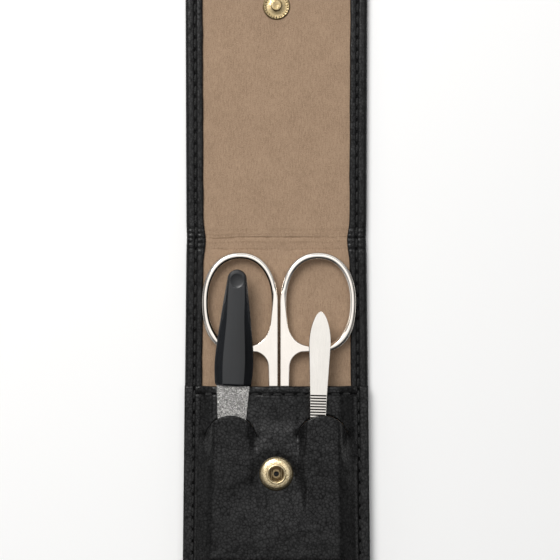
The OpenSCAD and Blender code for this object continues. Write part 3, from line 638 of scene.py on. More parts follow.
def suedeLining(name, start, end):
    stations = sideStations(start, end)[0]
    inset, top, columns = liningShape["inset"], liningShape["top"], liningShape["columns"]
    width = columns + 1
    spots, faces = [], []
    for level in (top, liningShape["bottom"]):
        for (x, y), (inX, inY) in stations:
            halfRow, rowY = x + inX * inset, y + inY * inset
            for column in range(width):
                px = halfRow * (2 * column / columns - 1)
                pz = level
                if level == top:
                    pz += 0.05 * wander(px, rowY, 14.0, 2.0) + 0.02 * wander(px, rowY, 5.0, 8.0)
                    dent = bump(rowY, 12.36 + 0.15 * wander(px, 0, 9.0, 4.0), 0.22)
                    pz -= 0.16 * dent * smooth((17 - abs(px - 1)) / 6)
                    pz -= 0.07 * bump(rowY, 8.76 + 0.12 * wander(px, 5, 9.0, 4.0), 0.3)
                    pz += 0.1 * bump(rowY, 10.6, 1.1)
                    pz -= 0.12 * smooth((abs(px) - 20.5) / 2.5)
                spots.append((px, rowY, pz))
    rows = len(stations)
    lower = rows * width
    for row in range(rows - 1):
        for column in range(columns):
            a, b = row * width + column, (row + 1) * width + column
            faces.append((a, a + 1, b + 1, b))
            faces.append((a + lower, b + lower, b + 1 + lower, a + 1 + lower))
    rim = [row * width for row in range(rows)] + [(rows - 1) * width + column for column in range(1, width)]
    rim += [row * width + columns for row in range(rows - 2, -1, -1)] + list(range(columns - 1, 0, -1))
    for k, a in enumerate(rim):
        b = rim[(k + 1) % len(rim)]
        faces.append((a, b, b + lower, a + lower))
    return softMesh(name, spots, faces, 50)


endY, tipY = foldY - caseShape["backLen"], flapFoldY + caseShape["flapLen"]
backLeather = caseLeather("back_leather", caseShape["splitY"], endY)
flapLeather = caseLeather("flap_leather", caseShape["splitY"], tipY)
backLining = suedeLining("back_suede", caseShape["splitY"], endY)
flapLining = suedeLining("flap_suede", caseShape["splitY"], tipY)
lowerFold = {"start": (0, (foldY - bendLength) * mm, edgeZ * mm), "end": (0, (foldY + bendLength) * mm, edgeZ * mm)}
upperFold = {"start": (0, (flapFoldY - bendLength) * mm, edgeZ * mm),
    "end": (0, (flapFoldY + bendLength) * mm, edgeZ * mm)}
for piece, finish, slot, stands, bodies, bend in (
        (backLeather, edgeLeather, "leather", ("back_shell", "spine_shell"), ("case", "spine"), lowerFold),
        (flapLeather, edgeLeather, "leather", ("flap_shell", "spine_shell"), ("spine", "flap"), upperFold),
        (backLining, tanSuede, "suede", ("back_lining", "spine_lining"), ("case", "spine"), lowerFold),
        (flapLining, tanSuede, "suede", ("flap_lining", "spine_lining"), ("spine", "flap"), upperFold)):
    dress(piece, finish, None, slot, *stands)
    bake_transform(piece)
print("leather case and linings made")

# ---- pocket front ----

pocket = {"hem": 40.5, "slitTop": 49.0, "slitW": 15.5, "slitH": 6.4, "fileSlitX": -13.65, "tweezerSlitX": 13.9,
    "sideSlope": 5.8, "endSlope": 9.4, "rise": 0.65, "middleRise": 0.5, "dip": 0.4, "lipZ": 5.55, "kerf": 0.12,
    "flareX": 22, "clear": 0.2, "pitch": 2.0, "edgeZ": 2.6, "edgeW": 3.7, "liningHem": 43.7,
    "hemSeam": 2.4}
fileZ, tweezerZ = 7.15, 8.72
stud = {"socketY": foldY - studAway, "socketZ": 7.8, "studY": flapFoldY + studAway, "studZ": 1.9, "mouthR": 2.3,
    "lipR": 0.35, "height": 2.1, "sheet": 0.35, "beads": 26, "beadRow": 3.36}
slitMiddles = (pocket["fileSlitX"], pocket["tweezerSlitX"])
slitEnd = pocket["slitTop"] + pocket["slitH"]
slitY = foldY - pocket["slitTop"]


def plateau(x, middle, half):
    return smooth((1 - abs(x - middle) / half) / 0.4)


def backHalf(v):
    return caseShape["halfWidth"] + caseShape["pocketFlare"] * v / caseShape["backLen"]


def slitV(x):
    for middle in slitMiddles:
        if abs(x - middle) < pocket["slitW"] / 2:
            radius = (pocket["slitW"] ** 2 / 4 + pocket["slitH"] ** 2) / (2 * pocket["slitH"])
            return pocket["slitTop"] + radius - math.sqrt(radius ** 2 - (x - middle) ** 2)
    return slitEnd


def inSlit(x):
    return any(abs(x - middle) < pocket["slitW"] / 2 - 0.01 for middle in slitMiddles)


def endV(x):
    if abs(x) > pocket["flareX"]:
        x *= backHalf(caseShape["backLen"]) / caseShape["halfWidth"]
    over = abs(x) - (backHalf(caseShape["backLen"]) - caseShape["cornerR"])
    if over <= 0:
        return caseShape["backLen"]
    return caseShape["backLen"] - caseShape["cornerR"] + math.sqrt(max(caseShape["cornerR"] ** 2 - over ** 2, 0))


def plainZ(x, v):
    return (pocket["lipZ"] + pocket["rise"] * smooth((v - pocket["slitTop"] - 1) / 7)
        + pocket["middleRise"] * plateau(x, screwX / 2, 7))


def lipHeight(x, v):
    return plainZ(x, v) - pocket["dip"] * smooth((x - 8.3) / 2) * smooth(
        (pocket["tweezerSlitX"] + pocket["slitW"] / 2 - x) / 2) * smooth((slitEnd - v) / 3)


def toolLift(x, v, middle, z):
    over = z + pocket["clear"] - (v - pocket["slitTop"]) * math.tan(math.radians(pocket["pitch"]))
    return plateau(x, middle, pocket["slitW"] / 2) * (over - plainZ(middle, v))


def tongueHeight(x, v):
    return (plainZ(x, v) + toolLift(x, v, pocket["fileSlitX"], fileZ + 0.35)
        + toolLift(x, v, pocket["tweezerSlitX"], tweezerZ))


def easy(value, soft=0.3):  # a straight ramp with rounded ends
    value = min(max(value, 0.0), 1.0)
    edge = min(value, 1 - value)
    rise = edge * edge / (2 * soft) if edge < soft else edge - soft / 2
    rise /= 1 - soft
    return rise if value < 0.5 else 1 - rise


def frontZ(x, v, below):
    fall = easy((backHalf(v) - pocket["edgeW"] - abs(x)) / pocket["sideSlope"]) * easy(
        (caseShape["backLen"] - pocket["edgeW"] - v) / pocket["endSlope"])
    full = tongueHeight(x, v) if below else lipHeight(x, v)
    return pocket["edgeZ"] + (full - pocket["edgeZ"]) * fall


drapes = {}


def drape(v):  # the leather's smooth form from rise to rise at this distance down, as height over x
    if v not in drapes:
        reach = backHalf(v) - 3.3
        xs = np.linspace(-reach, reach, 123)
        heights = np.array([frontZ(x, v, True) for x in xs])
        raised = np.array([heights[max(k - 4, 0):k + 5].max() for k in range(len(xs))])
        hull = []
        for spot in zip(xs, raised):
            while len(hull) > 1 and ((hull[-1][0] - hull[-2][0]) * (spot[1] - hull[-2][1])
                    - (hull[-1][1] - hull[-2][1]) * (spot[0] - hull[-2][0])) >= 0:
                hull.pop()
            hull.append(spot)
        full = np.interp(xs, [spot[0] for spot in hull], [spot[1] for spot in hull])
        weights = np.exp(-((np.arange(-12, 13) * 0.4 / 2.6) ** 2))
        drapes[v] = (xs, np.convolve(np.pad(full, 12, "edge"), weights / weights.sum(), "valid"))
    return drapes[v]


socketV = foldY - stud["socketY"]
socketDrop = np.interp(0, *drape(socketV)) - frontZ(0, socketV, True)


def shownZ(x, v, below):
    z = frontZ(x, v, below)
    if v > slitEnd:
        start = math.floor(v * 2) / 2
        low, high = np.interp(x, *drape(start)), np.interp(x, *drape(start + 0.5))
        full = low + (high - low) * (v - start) * 2
        away = math.hypot(x, foldY - v - stud["socketY"])
        reach = 4.6 + 10 * smooth((v - socketV) / 6)
        dish = full - socketDrop * (1 - smooth((away - 4.6) / reach))
        dish = z + math.log1p(math.exp((dish - z) / 0.16)) * 0.16
        dish = z + (dish - z) * smooth((away - 4.9) / 1.2)
        z += (dish - z) * smooth((v - slitEnd) / 11) * smooth((backHalf(v) - 2.2 - abs(x)) / 2.2)
    return z


def edgeDistance(x, v):  # from the case's outline
    side = backHalf(v) - abs(x)
    end = caseShape["backLen"] - v
    cornerR = caseShape["cornerR"]
    if side < cornerR and end < cornerR:
        return cornerR - math.hypot(cornerR - side, cornerR - end)
    return min(side, end)


def frontPuff(x, v):  # soft unevenness of the leather, never below its CAD underside
    away = smooth((edgeDistance(x, v) - 5.4) / 3)
    y = foldY - v
    turned = (x * 0.72 + y * 0.69, -x * 0.69 + y * 0.72)
    puff = 0.14 * (1 + wander(x, y, 11.0, 1.0)) + 0.05 * (1 + wander(x, y, 4.5, 6.0))
    folds = abs(wander(turned[0] * 0.4, turned[1], 2.6, 2.0))
    right = smooth((-6 - x) / -5) * smooth((v - 50) / 5) * smooth((74 - v) / 8)
    low = smooth((v - 78) / 8)
    puff += (0.2 * right + 0.17 * low + 0.05) * (0.5 - min(folds, 0.5)) * 2 * 0.8
    return puff * away


def channel(x, v):  # the sewn channels along the sides, the end and the hem
    depth = 0.42 * bump(edgeDistance(x, v), seamInset, 0.3)
    if edgeDistance(x, v) > 3:
        depth = max(depth, 0.3 * bump(v, pocket["hem"] + pocket["hemSeam"], 0.3))
    return depth


def seamShade(x, v):
    shade = bump(edgeDistance(x, v), seamInset, 0.36)
    if edgeDistance(x, v) > 3:
        shade = max(shade, bump(v, pocket["hem"] + pocket["hemSeam"], 0.36))
    for middle in slitMiddles:  # shadowed ends of the slits
        for side in (-1, 1):
            away = math.hypot(x - middle - side * pocket["slitW"] / 2, v - slitEnd + 0.6)
            shade = max(shade, 1 - away / 1.7)
    return 0.9 * shade


def thickFront(name, base, thick, topV, aboveRows, belowRows, detail):
    half = caseShape["halfWidth"]
    xs = []
    for middle in slitMiddles:
        xs += [middle - pocket["slitW"] / 2 * math.cos(math.pi * k / 26) for k in range(27)]
    rimSteps = [0, 0.1, 0.25, 0.45, 0.8, 1.3, 1.8, 2.2, 2.45, 2.6, 2.78, 2.95, 3.12, 3.3, 3.45, 3.7, 4.1, 4.6]
    edges = [-half + step for step in rimSteps]
    edges += list(np.linspace(-half + 5.0, min(xs) - 0.4, 6))
    xs = edges + xs[:27] + list(np.linspace(xs[26], xs[27], 24)[1:-1]) + xs[27:]
    xs += list(np.linspace(max(xs) + 0.4, half - 5.0, 6)) + [half - step for step in rimSteps[::-1]]
    columns = len(xs)
    top = [0, 0.015, 0.04, 0.08] + list(np.linspace(0.14, 0.93, aboveRows)) + [0.965, 0.985, 1.0]
    low = [0, 0.002, 0.005, 0.01, 0.016] + list(np.linspace(0.028, 0.984, belowRows)) + [0.992, 0.997, 1.0]
    rows = len(top) + len(low)
    split = len(top) - 1

    def spot(column, row, side):
        x = xs[column]
        cut = slitV(x)
        below = row > split
        if below:
            share = low[row - split - 1]
            start = cut + (pocket["kerf"] if inSlit(x) else 0)
            v = start + (endV(x) - start) * share
        else:
            v = topV + (cut - topV) * top[row]
        px = x * backHalf(v) / half if abs(x) > pocket["flareX"] else x
        z = shownZ(px, v, below) + base + (thick if side else 0)
        if detail and side:
            z += frontPuff(px, v) - channel(px, v)
            rim = max(edgeDistance(px, v), 0)
            if rim < 0.5:
                z -= 0.42 * (1 - rim / 0.5) ** 2
            if not below and v - topV < 0.45:
                z -= 0.42 * (1 - (v - topV) / 0.45) ** 2
            if inSlit(x):
                cutGap = (v - cut - pocket["kerf"]) if below else cut - v
                if cutGap < 0.3:
                    z -= 0.16 * (1 - cutGap / 0.3) ** 2
        elif detail:
            rim = max(edgeDistance(px, v), 0)
            if rim < 0.3:
                z += 0.1 * (1 - rim / 0.3) ** 2
            if not below and v - topV < 0.35:
                z += 0.2 * (1 - (v - topV) / 0.35) ** 2
        return (px, foldY - v, z)

    spots = [spot(column, row, side) for side in (0, 1) for row in range(rows) for column in range(columns)]

    def point(column, row, side):
        if row == split + 1 and not inSlit(xs[column]):
            row = split
        return side * rows * columns + row * columns + column

    faces = []
    for row in range(rows - 1):
        if row == split:
            continue
        for column in range(columns - 1):
            for side in (0, 1):
                faces.append((point(column, row, side), point(column + 1, row, side),
                    point(column + 1, row + 1, side), point(column, row + 1, side)))
    edgeCount = {}
    for face in faces:
        for k in range(4):
            pair = tuple(sorted((face[k], face[(k + 1) % 4])))
            edgeCount[pair] = edgeCount.get(pair, 0) + 1
    layer = rows * columns
    walls = [pair for pair, count in edgeCount.items() if count == 1 and pair[0] < layer and pair[1] < layer]
    faces += [(a, b, b + layer, a + layer) for a, b in walls]
    used = sorted(set(index for face in faces for index in face))
    renumber = {old: new for new, old in enumerate(used)}
    shown = [spots[index] for index in used]
    # the seam share gives painted shade along the stitch rows and at the ends of the slits
    return softMesh(name, shown, [tuple(renumber[index] for index in face) for face in faces], 42,
        [seamShade(x, foldY - y) for x, y, z in shown])


pocketLeather = thickFront("pocket_leather", 0.3, 0.8, pocket["hem"], 34, 104, True)
pocketLiningSheet = thickFront("pocket_cloth", 0.02, 0.26, pocket["liningHem"], 8, 40, False)
dress(pocketLeather, pebbledLeather, "case", "leather", "pocket_front")
dress(pocketLiningSheet, pocketCloth, "case", "pocket_cloth", "pocket_lining")
print("pocket front made")

# ---- stitches ----

stitchShape = {"pitch": 3.5, "length": 2.65, "width": 0.72, "height": 0.5, "inset": seamInset}


def oneStitch():  # a dash of thread whose ends dip into the leather
    piece = added(bpy.ops.mesh.primitive_uv_sphere_add, segments=8, ring_count=7, radius=0.5 * mm,
        rotation=(0, math.pi / 2, 0))
    bpy.ops.object.transform_apply(location=True, rotation=True, scale=True)
    spots = pointsOf(piece) / mm
    along = np.sign(spots[:, 0]) * np.abs(2 * spots[:, 0]) ** 0.55
    swell = np.sqrt(np.clip(1 - np.abs(along) ** 6, 0, 1)) * 0.5
    flat = np.hypot(spots[:, 1], spots[:, 2]) + 1e-9
    spots[:, 1] = spots[:, 1] / flat * swell * stitchShape["width"] * (flat > 1e-6)
    spots[:, 2] = spots[:, 2] / flat * swell * stitchShape["height"] * (flat > 1e-6)
    spots[:, 0] = along * stitchShape["length"] / 2
    spots[:, 2] -= 0.22 * np.abs(along) ** 3.5
    setPoints(piece, spots * mm)
    bpy.ops.object.shade_smooth()
    return piece


def seamPath(start, end, inset, step):  # evenly spaced places along a seam, with its direction
    side = [(x + inX * inset, y + inY * inset) for (x, y), (inX, inY) in sideStations(start, end)[0]]
    line = [(-x, y) for x, y in side] + side[::-1]
    lengths = [0.0]
    for a, b in zip(line, line[1:]):
        lengths.append(lengths[-1] + math.dist(a, b))
    count = int(lengths[-1] / step)
    spacing = lengths[-1] / count
    result = []
    for k in range(count):
        goal = (k + 0.5) * spacing
        spot = next(i for i in range(1, len(lengths)) if lengths[i] >= goal)
        share = (goal - lengths[spot - 1]) / (lengths[spot] - lengths[spot - 1])
        a, b = line[spot - 1], line[spot]
        result.append((a[0] + (b[0] - a[0]) * share, a[1] + (b[1] - a[1]) * share,
            math.atan2(b[1] - a[1], b[0] - a[0])))
    return result


def sewn(name, places, thread):  # copies of the stitch at (x, y, z, turn, tilt, upside down)
    copies = []
    for k, (x, y, z, turn, tilt, under) in enumerate(places):
        copy = copyOf(thread, "stitch")
        wobble = 0.05 * math.sin(k * 12.9898)
        spin = Matrix.Translation(Vector((x, y, z)) * mm) @ Matrix.Rotation(turn + wobble, 4, "Z")
        spin = spin @ Matrix.Rotation(tilt, 4, "Y")
        if under:
            spin = spin @ Matrix.Rotation(math.pi, 4, "X")
        place(copy, spin)
        copies.append(copy)
    seam = joined(name, copies)
    keepPlaces(seam)
    return seam


def frontTop(x, y):
    v = foldY - y
    below = v > slitV(x)
    return shownZ(x, v, below) + 1.1 + frontPuff(x, v) - channel(x, v)


thread = oneStitch()
backPlaces, flapPlaces = [], []
for x, y, turn in seamPath(caseShape["splitY"], endY, stitchShape["inset"], stitchShape["pitch"]):
    onPocket = foldY - y > pocket["hem"] + 0.6
    z = (frontTop(x, y) if onPocket else 2.12 - creaseDrop(y, x)) + 0.2
    backPlaces.append((x, y, z, turn, 0.0, False))
    backPlaces.append((x, y, 0.155, turn, 0.0, True))
for x, y, turn in seamPath(caseShape["splitY"], tipY, stitchShape["inset"], stitchShape["pitch"]):
    flapPlaces.append((x, y, 2.32 - creaseDrop(y, x), turn, 0.0, False))
    flapPlaces.append((x, y, 0.155, turn, 0.0, True))
hemPlaces = []
hemY = foldY - pocket["hem"] - pocket["hemSeam"]
for k in range(-6, 7):
    x = 0.4 + k * 3.45
    slope = (frontTop(x + 1, hemY) - frontTop(x - 1, hemY)) / 2
    hemPlaces.append((x, hemY, frontTop(x, hemY) + 0.17, 0.0, -math.atan(slope), False))
backStitches = dress(sewn("back_stitches", backPlaces, thread), blackThread, None, "leather")
flapStitches = dress(sewn("flap_stitches", flapPlaces, thread), blackThread, None, "leather")
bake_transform(backStitches)
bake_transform(flapStitches)
dress(sewn("hem_stitches", hemPlaces, thread), blackThread, "case", "leather")
bpy.data.objects.remove(thread)
print("stitches sewn:", len(backPlaces) + len(flapPlaces) + len(hemPlaces))

# ---- press stud ----

lipY = stud["height"] - stud["lipR"]
dome = [(1.47, 0.0), (4.92, 0.0)] + arcPoints((4.82, 0.28), 0.28, -80, 60, 7)
dome += [(4.98, 0.62), (4.86, 0.92), (4.6, 1.17), (4.25, 1.37), (3.9, 1.49), (3.55, 1.56), (3.33, 1.59),
    (3.14, 1.62)]
dome += arcPoints((stud["mouthR"] + stud["lipR"], lipY), stud["lipR"], -20, 250, 20)
dome += [(2.96, 1.32), (2.96, stud["sheet"]), (1.47, stud["sheet"])]
socket = spunPiece("socket_dome", dome, (0, stud["socketY"], stud["socketZ"]))
dress(socket, mouthBrass, "case", "brass", "snap_socket")
neck, ball = 1.15, 1.65
plate = [(0.0, 0.0), (3.95, 0.0)] + arcPoints((3.98, 0.16), 0.13, -90, 80, 6)
plate += [(3.92, 0.42), (3.72, 0.52), (3.3, 0.44), (2.9, 0.42), (2.5, 0.44), (2.2, 0.5), (1.75, 0.56),
    (1.45, 0.68), (1.2, 0.88), (neck, 1.1), (neck, 1.58), (1.32, 1.62)]
plate += arcPoints((ball - 0.3, 1.9), 0.3, -40, 90, 8) + [(0.95, 2.19), (0.55, 2.15), (0.0, 2.13)]
studPlate = spunPiece("stud_plate", plate, (0, stud["studY"], stud["studZ"]))
beads = [studPlate]
for k in range(stud["beads"]):
    turn = 2 * math.pi * k / stud["beads"]
    bead = added(bpy.ops.mesh.primitive_uv_sphere_add, segments=12, ring_count=8, radius=0.31 * mm)
    bpy.ops.object.shade_smooth()
    spot = (stud["beadRow"] * math.sin(turn), stud["studY"] + stud["beadRow"] * math.cos(turn), stud["studZ"] + 0.48)
    place(bead, Matrix.Translation(Vector(spot) * mm) @ Matrix.Diagonal((1, 1, 0.8, 1)))
    beads.append(bead)
dress(joined("stud_plate", beads), mottledBrass, "flap", "brass", "snap_stud")
# socket_rivet takes the darker brass, painted shade inside the socket
for name, finish in (("socket_spring", springSteel), ("socket_rivet", shadedBrass), ("stud_rivet", mottledBrass),
        ("scissor_screw", nickel), ("file_blade", gritCoat), ("back_board", fibreBoard),
        ("spine_board", fibreBoard), ("flap_board", fibreBoard)):
    nodes[name].data.materials.clear()
    nodes[name].data.materials.append(finish)
print("press stud made")

# ---- nail scissors ----

scissors = {"ring": (11.75, 42.9), "outer": (11.42, 15.1), "hole": (9.5, 13.05), "thick": 2.4, "bevel": 0.3,
    "inner": 0.33, "shank": 2.77, "webR": 4.8, "web": (8.0, 23.4), "joint": 4.2, "total": 2.6, "gap": 0.05,
    "blade": 32.0, "shankY": 4.4, "lapY": 9.0, "topY": 43.6}


def ovalSpot(radii, power, angle):  # a place on a squarish oval round the ring's middle
    c, s = math.cos(angle), math.sin(angle)
    x, y = scissors["ring"]
    return (x + radii[0] * math.copysign(abs(c) ** (2 / power), c),
        y + radii[1] * math.copysign(abs(s) ** (2 / power), s))


def bladeArc(start, end, radius, count):  # arc that bulges to the left of the way
    a, b = Vector(start), Vector(end)
    half = (b - a).length / 2
    side = Vector((-(b - a).y, (b - a).x)).normalized()
    middle = (a + b) / 2 - side * math.sqrt(radius ** 2 - half ** 2)
    first = math.atan2(a.y - middle.y, a.x - middle.x)
    sweep = math.atan2(b.y - middle.y, b.x - middle.x) - first
    sweep = (sweep + math.pi) % (2 * math.pi) - math.pi
    return [(middle.x + radius * math.cos(first + sweep * k / count),
        middle.y + radius * math.sin(first + sweep * k / count)) for k in range(count + 1)]


def ringPower(angle):  # squarer where the ring runs into the web
    return 2.2 + 0.25 * smooth(-math.sin(angle) * 2)


def holePower(angle):
    return 2.2 + 0.75 * smooth(-math.sin(angle) * 2) * smooth(-math.cos(angle) * 1.5 + 0.6)


def across(angle, share):  # a place across the ring's bar, 0 at the hole and 1 outside
    turn = math.radians(angle)
    hole = ovalSpot(scissors["hole"], holePower(turn), turn)
    outer = ovalSpot(scissors["outer"], ringPower(turn), turn)
    return (hole[0] + (outer[0] - hole[0]) * share, hole[1] + (outer[1] - hole[1]) * share)


# section of a ring's bar: share of the way from the hole outwards, and height
barSection = [(0.0, 0.4), (0.02, 0.62), (0.05, 0.74), (0.08, 0.785), (0.11, 0.825), (0.24, 1.01), (0.27, 1.05),
    (0.31, 1.09), (0.36, 1.12), (0.42, 1.135), (0.54, 1.135), (0.61, 1.12), (0.66, 1.09), (0.7, 1.05), (0.73, 1.01),
    (0.86, 0.8), (0.89, 0.75), (0.93, 0.66), (0.97, 0.45), (1.0, 0.0)]


def fingerRing(name):
    section = barSection + [(share, -z) for share, z in reversed(barSection[:-1])]
    rings = []
    for angle in range(0, 363, 3):
        rings.append([across(angle, share) + (z,) for share, z in section])
    ring = drawnBar(name, rings)
    pick(ring)
    bpy.ops.object.mode_set(mode="EDIT")
    bpy.ops.mesh.select_mode(type="FACE")
    bpy.ops.mesh.select_all(action="DESELECT")
    bpy.ops.object.mode_set(mode="OBJECT")
    for face in ring.data.polygons:  # the two end caps, which meet
        face.select = len(face.vertices) > 4
    bpy.ops.object.mode_set(mode="EDIT")
    bpy.ops.mesh.delete(type="ONLY_FACE")
    bpy.ops.object.mode_set(mode="OBJECT")
    return tidyMesh(ring, 40, merge=0.001)


def scissorHalf(name, material, body, turned):
    s = scissors
    wx, wy = s["web"]
    right = s["inner"] + s["shank"]
    low = s["shankY"]
    outline = [(s["inner"], low), (right, low)] + [(right, low + (wy - low) * k / 6) for k in range(1, 6)]
    outline += arcPoints((wx, wy), s["webR"], 180, 105.2, 22)
    outline += [across(angle, 0.95 - 0.45 * smooth((angle + 101) / 30)) for angle in range(-101, -57, 3)]
    outline += [across(angle, 0.06 + 0.38 * smooth((angle + 96) / 34)) for angle in range(-60, -97, -3)]
    outline += [across(angle, 0.06 + 0.38 * smooth((-165 - angle) / 42)) for angle in range(-99, -210, -3)]
    outline += [across(angle, 0.5 + 0.47 * smooth((angle + 209) / 25)) for angle in range(-207, -183, 3)]
    outline += [(s["inner"], s["topY"] - (s["topY"] - low) * k / 12) for k in range(12)]
    grip = cutPlate(name, outline, s["thick"], s["bevel"])
    spots = pointsOf(grip) / mm
    for spot in spots:  # the ends run out under the ring's bar
        if spot[1] > 24:
            away = [(spot[axis] - s["ring"][axis]) / s["outer"][axis] for axis in (0, 1)]
            turn = math.degrees(math.atan2(away[1], away[0])) % 360
            spot[2] *= 1 - 0.25 * max(smooth((turn - 286) / 15), smooth((167 - turn) / 15))
    setPoints(grip, spots * mm)
    tidyMesh(grip, 5)
    r = s["joint"]
    back = [spot for spot in bladeArc((-0.46 * 2 * r, 0), (0.1, -s["blade"]), 105, 40) if math.hypot(*spot) > r]
    edge = [spot for spot in bladeArc((0.5, -s["blade"] + 0.1), (0.3 * 2 * r, 0), 260, 40) if math.hypot(*spot) > r]
    layer = [(s["inner"], s["lapY"])] + arcPoints((0, 0), r, 84, 202, 26) + back + edge
    layer += arcPoints((0, 0), r, -53, 40, 20) + [(right, s["lapY"])]
    halfT = (s["total"] - s["gap"]) / 2
    blade = cutPlate(name + "Blade", layer, halfT, 0.12)
    spots = pointsOf(blade) / mm
    for spot in spots:  # ground bevel along the cutting edge, on the outer face
        if spot[2] < 0 and spot[1] < -r and spot[0] > -0.2 + 0.2 * (spot[1] + s["blade"]) / s["blade"]:
            share = smooth((-spot[1] - r) / 5)
            spot[0] -= share * 1.25 * min(1.0, (spot[1] + s["blade"] + 1.5) / 14)
    spots[:, 2] += -s["total"] / 2 + halfT / 2
    setPoints(blade, spots * mm)
    half = joined(name, [grip, fingerRing(name + "Ring"), blade])
    move = Matrix.Translation(Vector((screwX, screwY, screwZ)) * mm)
    if turned:
        move = move @ Matrix.Rotation(math.pi, 4, "Y")
    place(half, move)
    return dress(half, material, body, "nickel_steel", name.replace("_bow", ""))


scissorHalf("scissor_blade_right_bow", nickel, "scissor_right", False)
scissorHalf("scissor_blade_left_bow", nickel, "scissor_left", True)
print("nail scissors made")

# ---- nail file ----

fileShape = {"x": pocket["fileSlitX"] + 0.4, "z": fileZ, "lean": 2.2, "handleY": 8.8, "length": 34.7, "width": 11.7,
    "thick": 3.6, "round": 2.95, "endW": 5.9, "facet": 0.56, "hollowR": 6.4, "hollowDepth": 0.5}


def toolMatrix(x, z, lean):
    return (Matrix.Translation(Vector((x, slitY, z)) * mm) @ Matrix.Rotation(-math.radians(lean), 4, "Z")
        @ Matrix.Rotation(math.radians(pocket["pitch"]), 4, "X"))


def handleHalfWidth(y):
    shape = fileShape
    top = shape["length"] - shape["round"]
    if y > top:
        return shape["endW"] / 2 * math.sqrt(max(1 - ((y - top) / shape["round"]) ** 2, 0.02))
    if y > 7:
        return shape["width"] / 2 + (shape["endW"] - shape["width"]) / 2 * ((y - 7) / (top - 7)) ** 1.25
    return shape["width"] / 2 - 0.38 * ((7 - y) / 7) ** 2


def handleHalfThick(y):
    shape = fileShape
    top = shape["length"] - shape["round"]
    value = shape["thick"] / 2 * (1 - 0.34 * (max(y - 5, 0) / shape["length"]) ** 1.1)
    if y > top:
        value *= math.sqrt(max(1 - 0.75 * ((y - top) / shape["round"]) ** 2, 0.02))
    return value


def handleRing(y):
    w, h = handleHalfWidth(y), handleHalfThick(y)
    if y < 0.6:
        w, h = w - 0.35 * (1 - y / 0.6) ** 1.5, h - 0.45 * (1 - y / 0.6) ** 1.5
    f = w * fileShape["facet"] + 0.5 * smooth((y - 18) / 12)
    f = min(f, w * 0.78)
    e = min(1.0, (w - f) / 0.6)
    quarter = [(f * 0.2, h), (f * 0.55, h - 0.05), (f - 0.16 * e, h - 0.18), (f, h - 0.03 * e - 0.18),
        (f + 0.12 * e, h - 0.12 * e - 0.18), (f + (w - f) * 0.52, h * 0.64), (w - 0.22 * e, h * 0.32),
        (w - 0.05 * e, h * 0.14)]
    right = quarter + [(x, -z) for x, z in reversed(quarter)]
    ring = right + [(-x, -z) for x, z in right]
    return [(x, y, z) for x, z in ring]


top = fileShape["length"] - fileShape["round"]
stops = [0, 0.12, 0.3, 0.6, 1.2, 2.5] + list(np.linspace(4, top, 22))
stops += [top + fileShape["round"] * math.sin(math.radians(a)) for a in range(8, 90, 8)] + [fileShape["length"]]
handle = drawnBar("file_grip", [handleRing(y) for y in stops])
hollowY = fileShape["length"] - fileShape["round"]
hollowZ = handleHalfThick(hollowY) + fileShape["hollowR"] - fileShape["hollowDepth"]
ballTool = added(bpy.ops.mesh.primitive_uv_sphere_add, segments=96, ring_count=64, radius=fileShape["hollowR"] * mm,
    location=(0.013 * mm, hollowY * mm, hollowZ * mm), rotation=(0.02, 0.013, 0.01))
bpy.ops.object.transform_apply(location=True, rotation=True, scale=True)
pick(handle)
cut = handle.modifiers.new("hollow", "BOOLEAN")
cut.operation = "DIFFERENCE"
cut.object = ballTool
cut.solver = "MANIFOLD"
bpy.ops.object.modifier_apply(modifier="hollow")
bpy.data.objects.remove(ballTool)
tidyMesh(handle, 24)
place(handle, toolMatrix(fileShape["x"], fileShape["z"], fileShape["lean"])
    @ Matrix.Translation(Vector((0, fileShape["handleY"], 0)) * mm))
dress(handle, satinPlastic, "nail_file", "black_plastic", "file_handle")
print("nail file made")

# ---- tweezers ----

tweezers = {"x": pocket["tweezerSlitX"] - 1.5, "z": tweezerZ, "lean": 1.5, "out": 31.0, "inside": 41.0,
    "width": 6.4, "grip": 5.0, "tip": 2.6, "thick": 0.8, "tipThick": 0.5, "tipGap": 1.0, "join": 22.0,
    "gripY": 5.9, "grooves": 14, "pitch": 0.83, "depth": 0.17, "point": 9.7}


def legHalfWidth(y):
    t = tweezers
    widest = t["out"] - t["point"]
    half = t["width"] / 2
    if y > widest:
        share = (y - widest) / (t["out"] - widest)
        return max(half * max(1 - share ** 2, 0) ** 0.62, 0.06)
    if y > t["gripY"]:
        return t["grip"] / 2 + (half - t["grip"] / 2) * (y - t["gripY"]) / (widest - t["gripY"])
    return t["tip"] / 2 + (t["grip"] - t["tip"]) / 2 * (y + t["inside"]) / (t["inside"] + t["gripY"])


def legThick(y):
    return tweezers["thick"] - (tweezers["thick"] - tweezers["tipThick"]) * max(-y, 0) / tweezers["inside"]


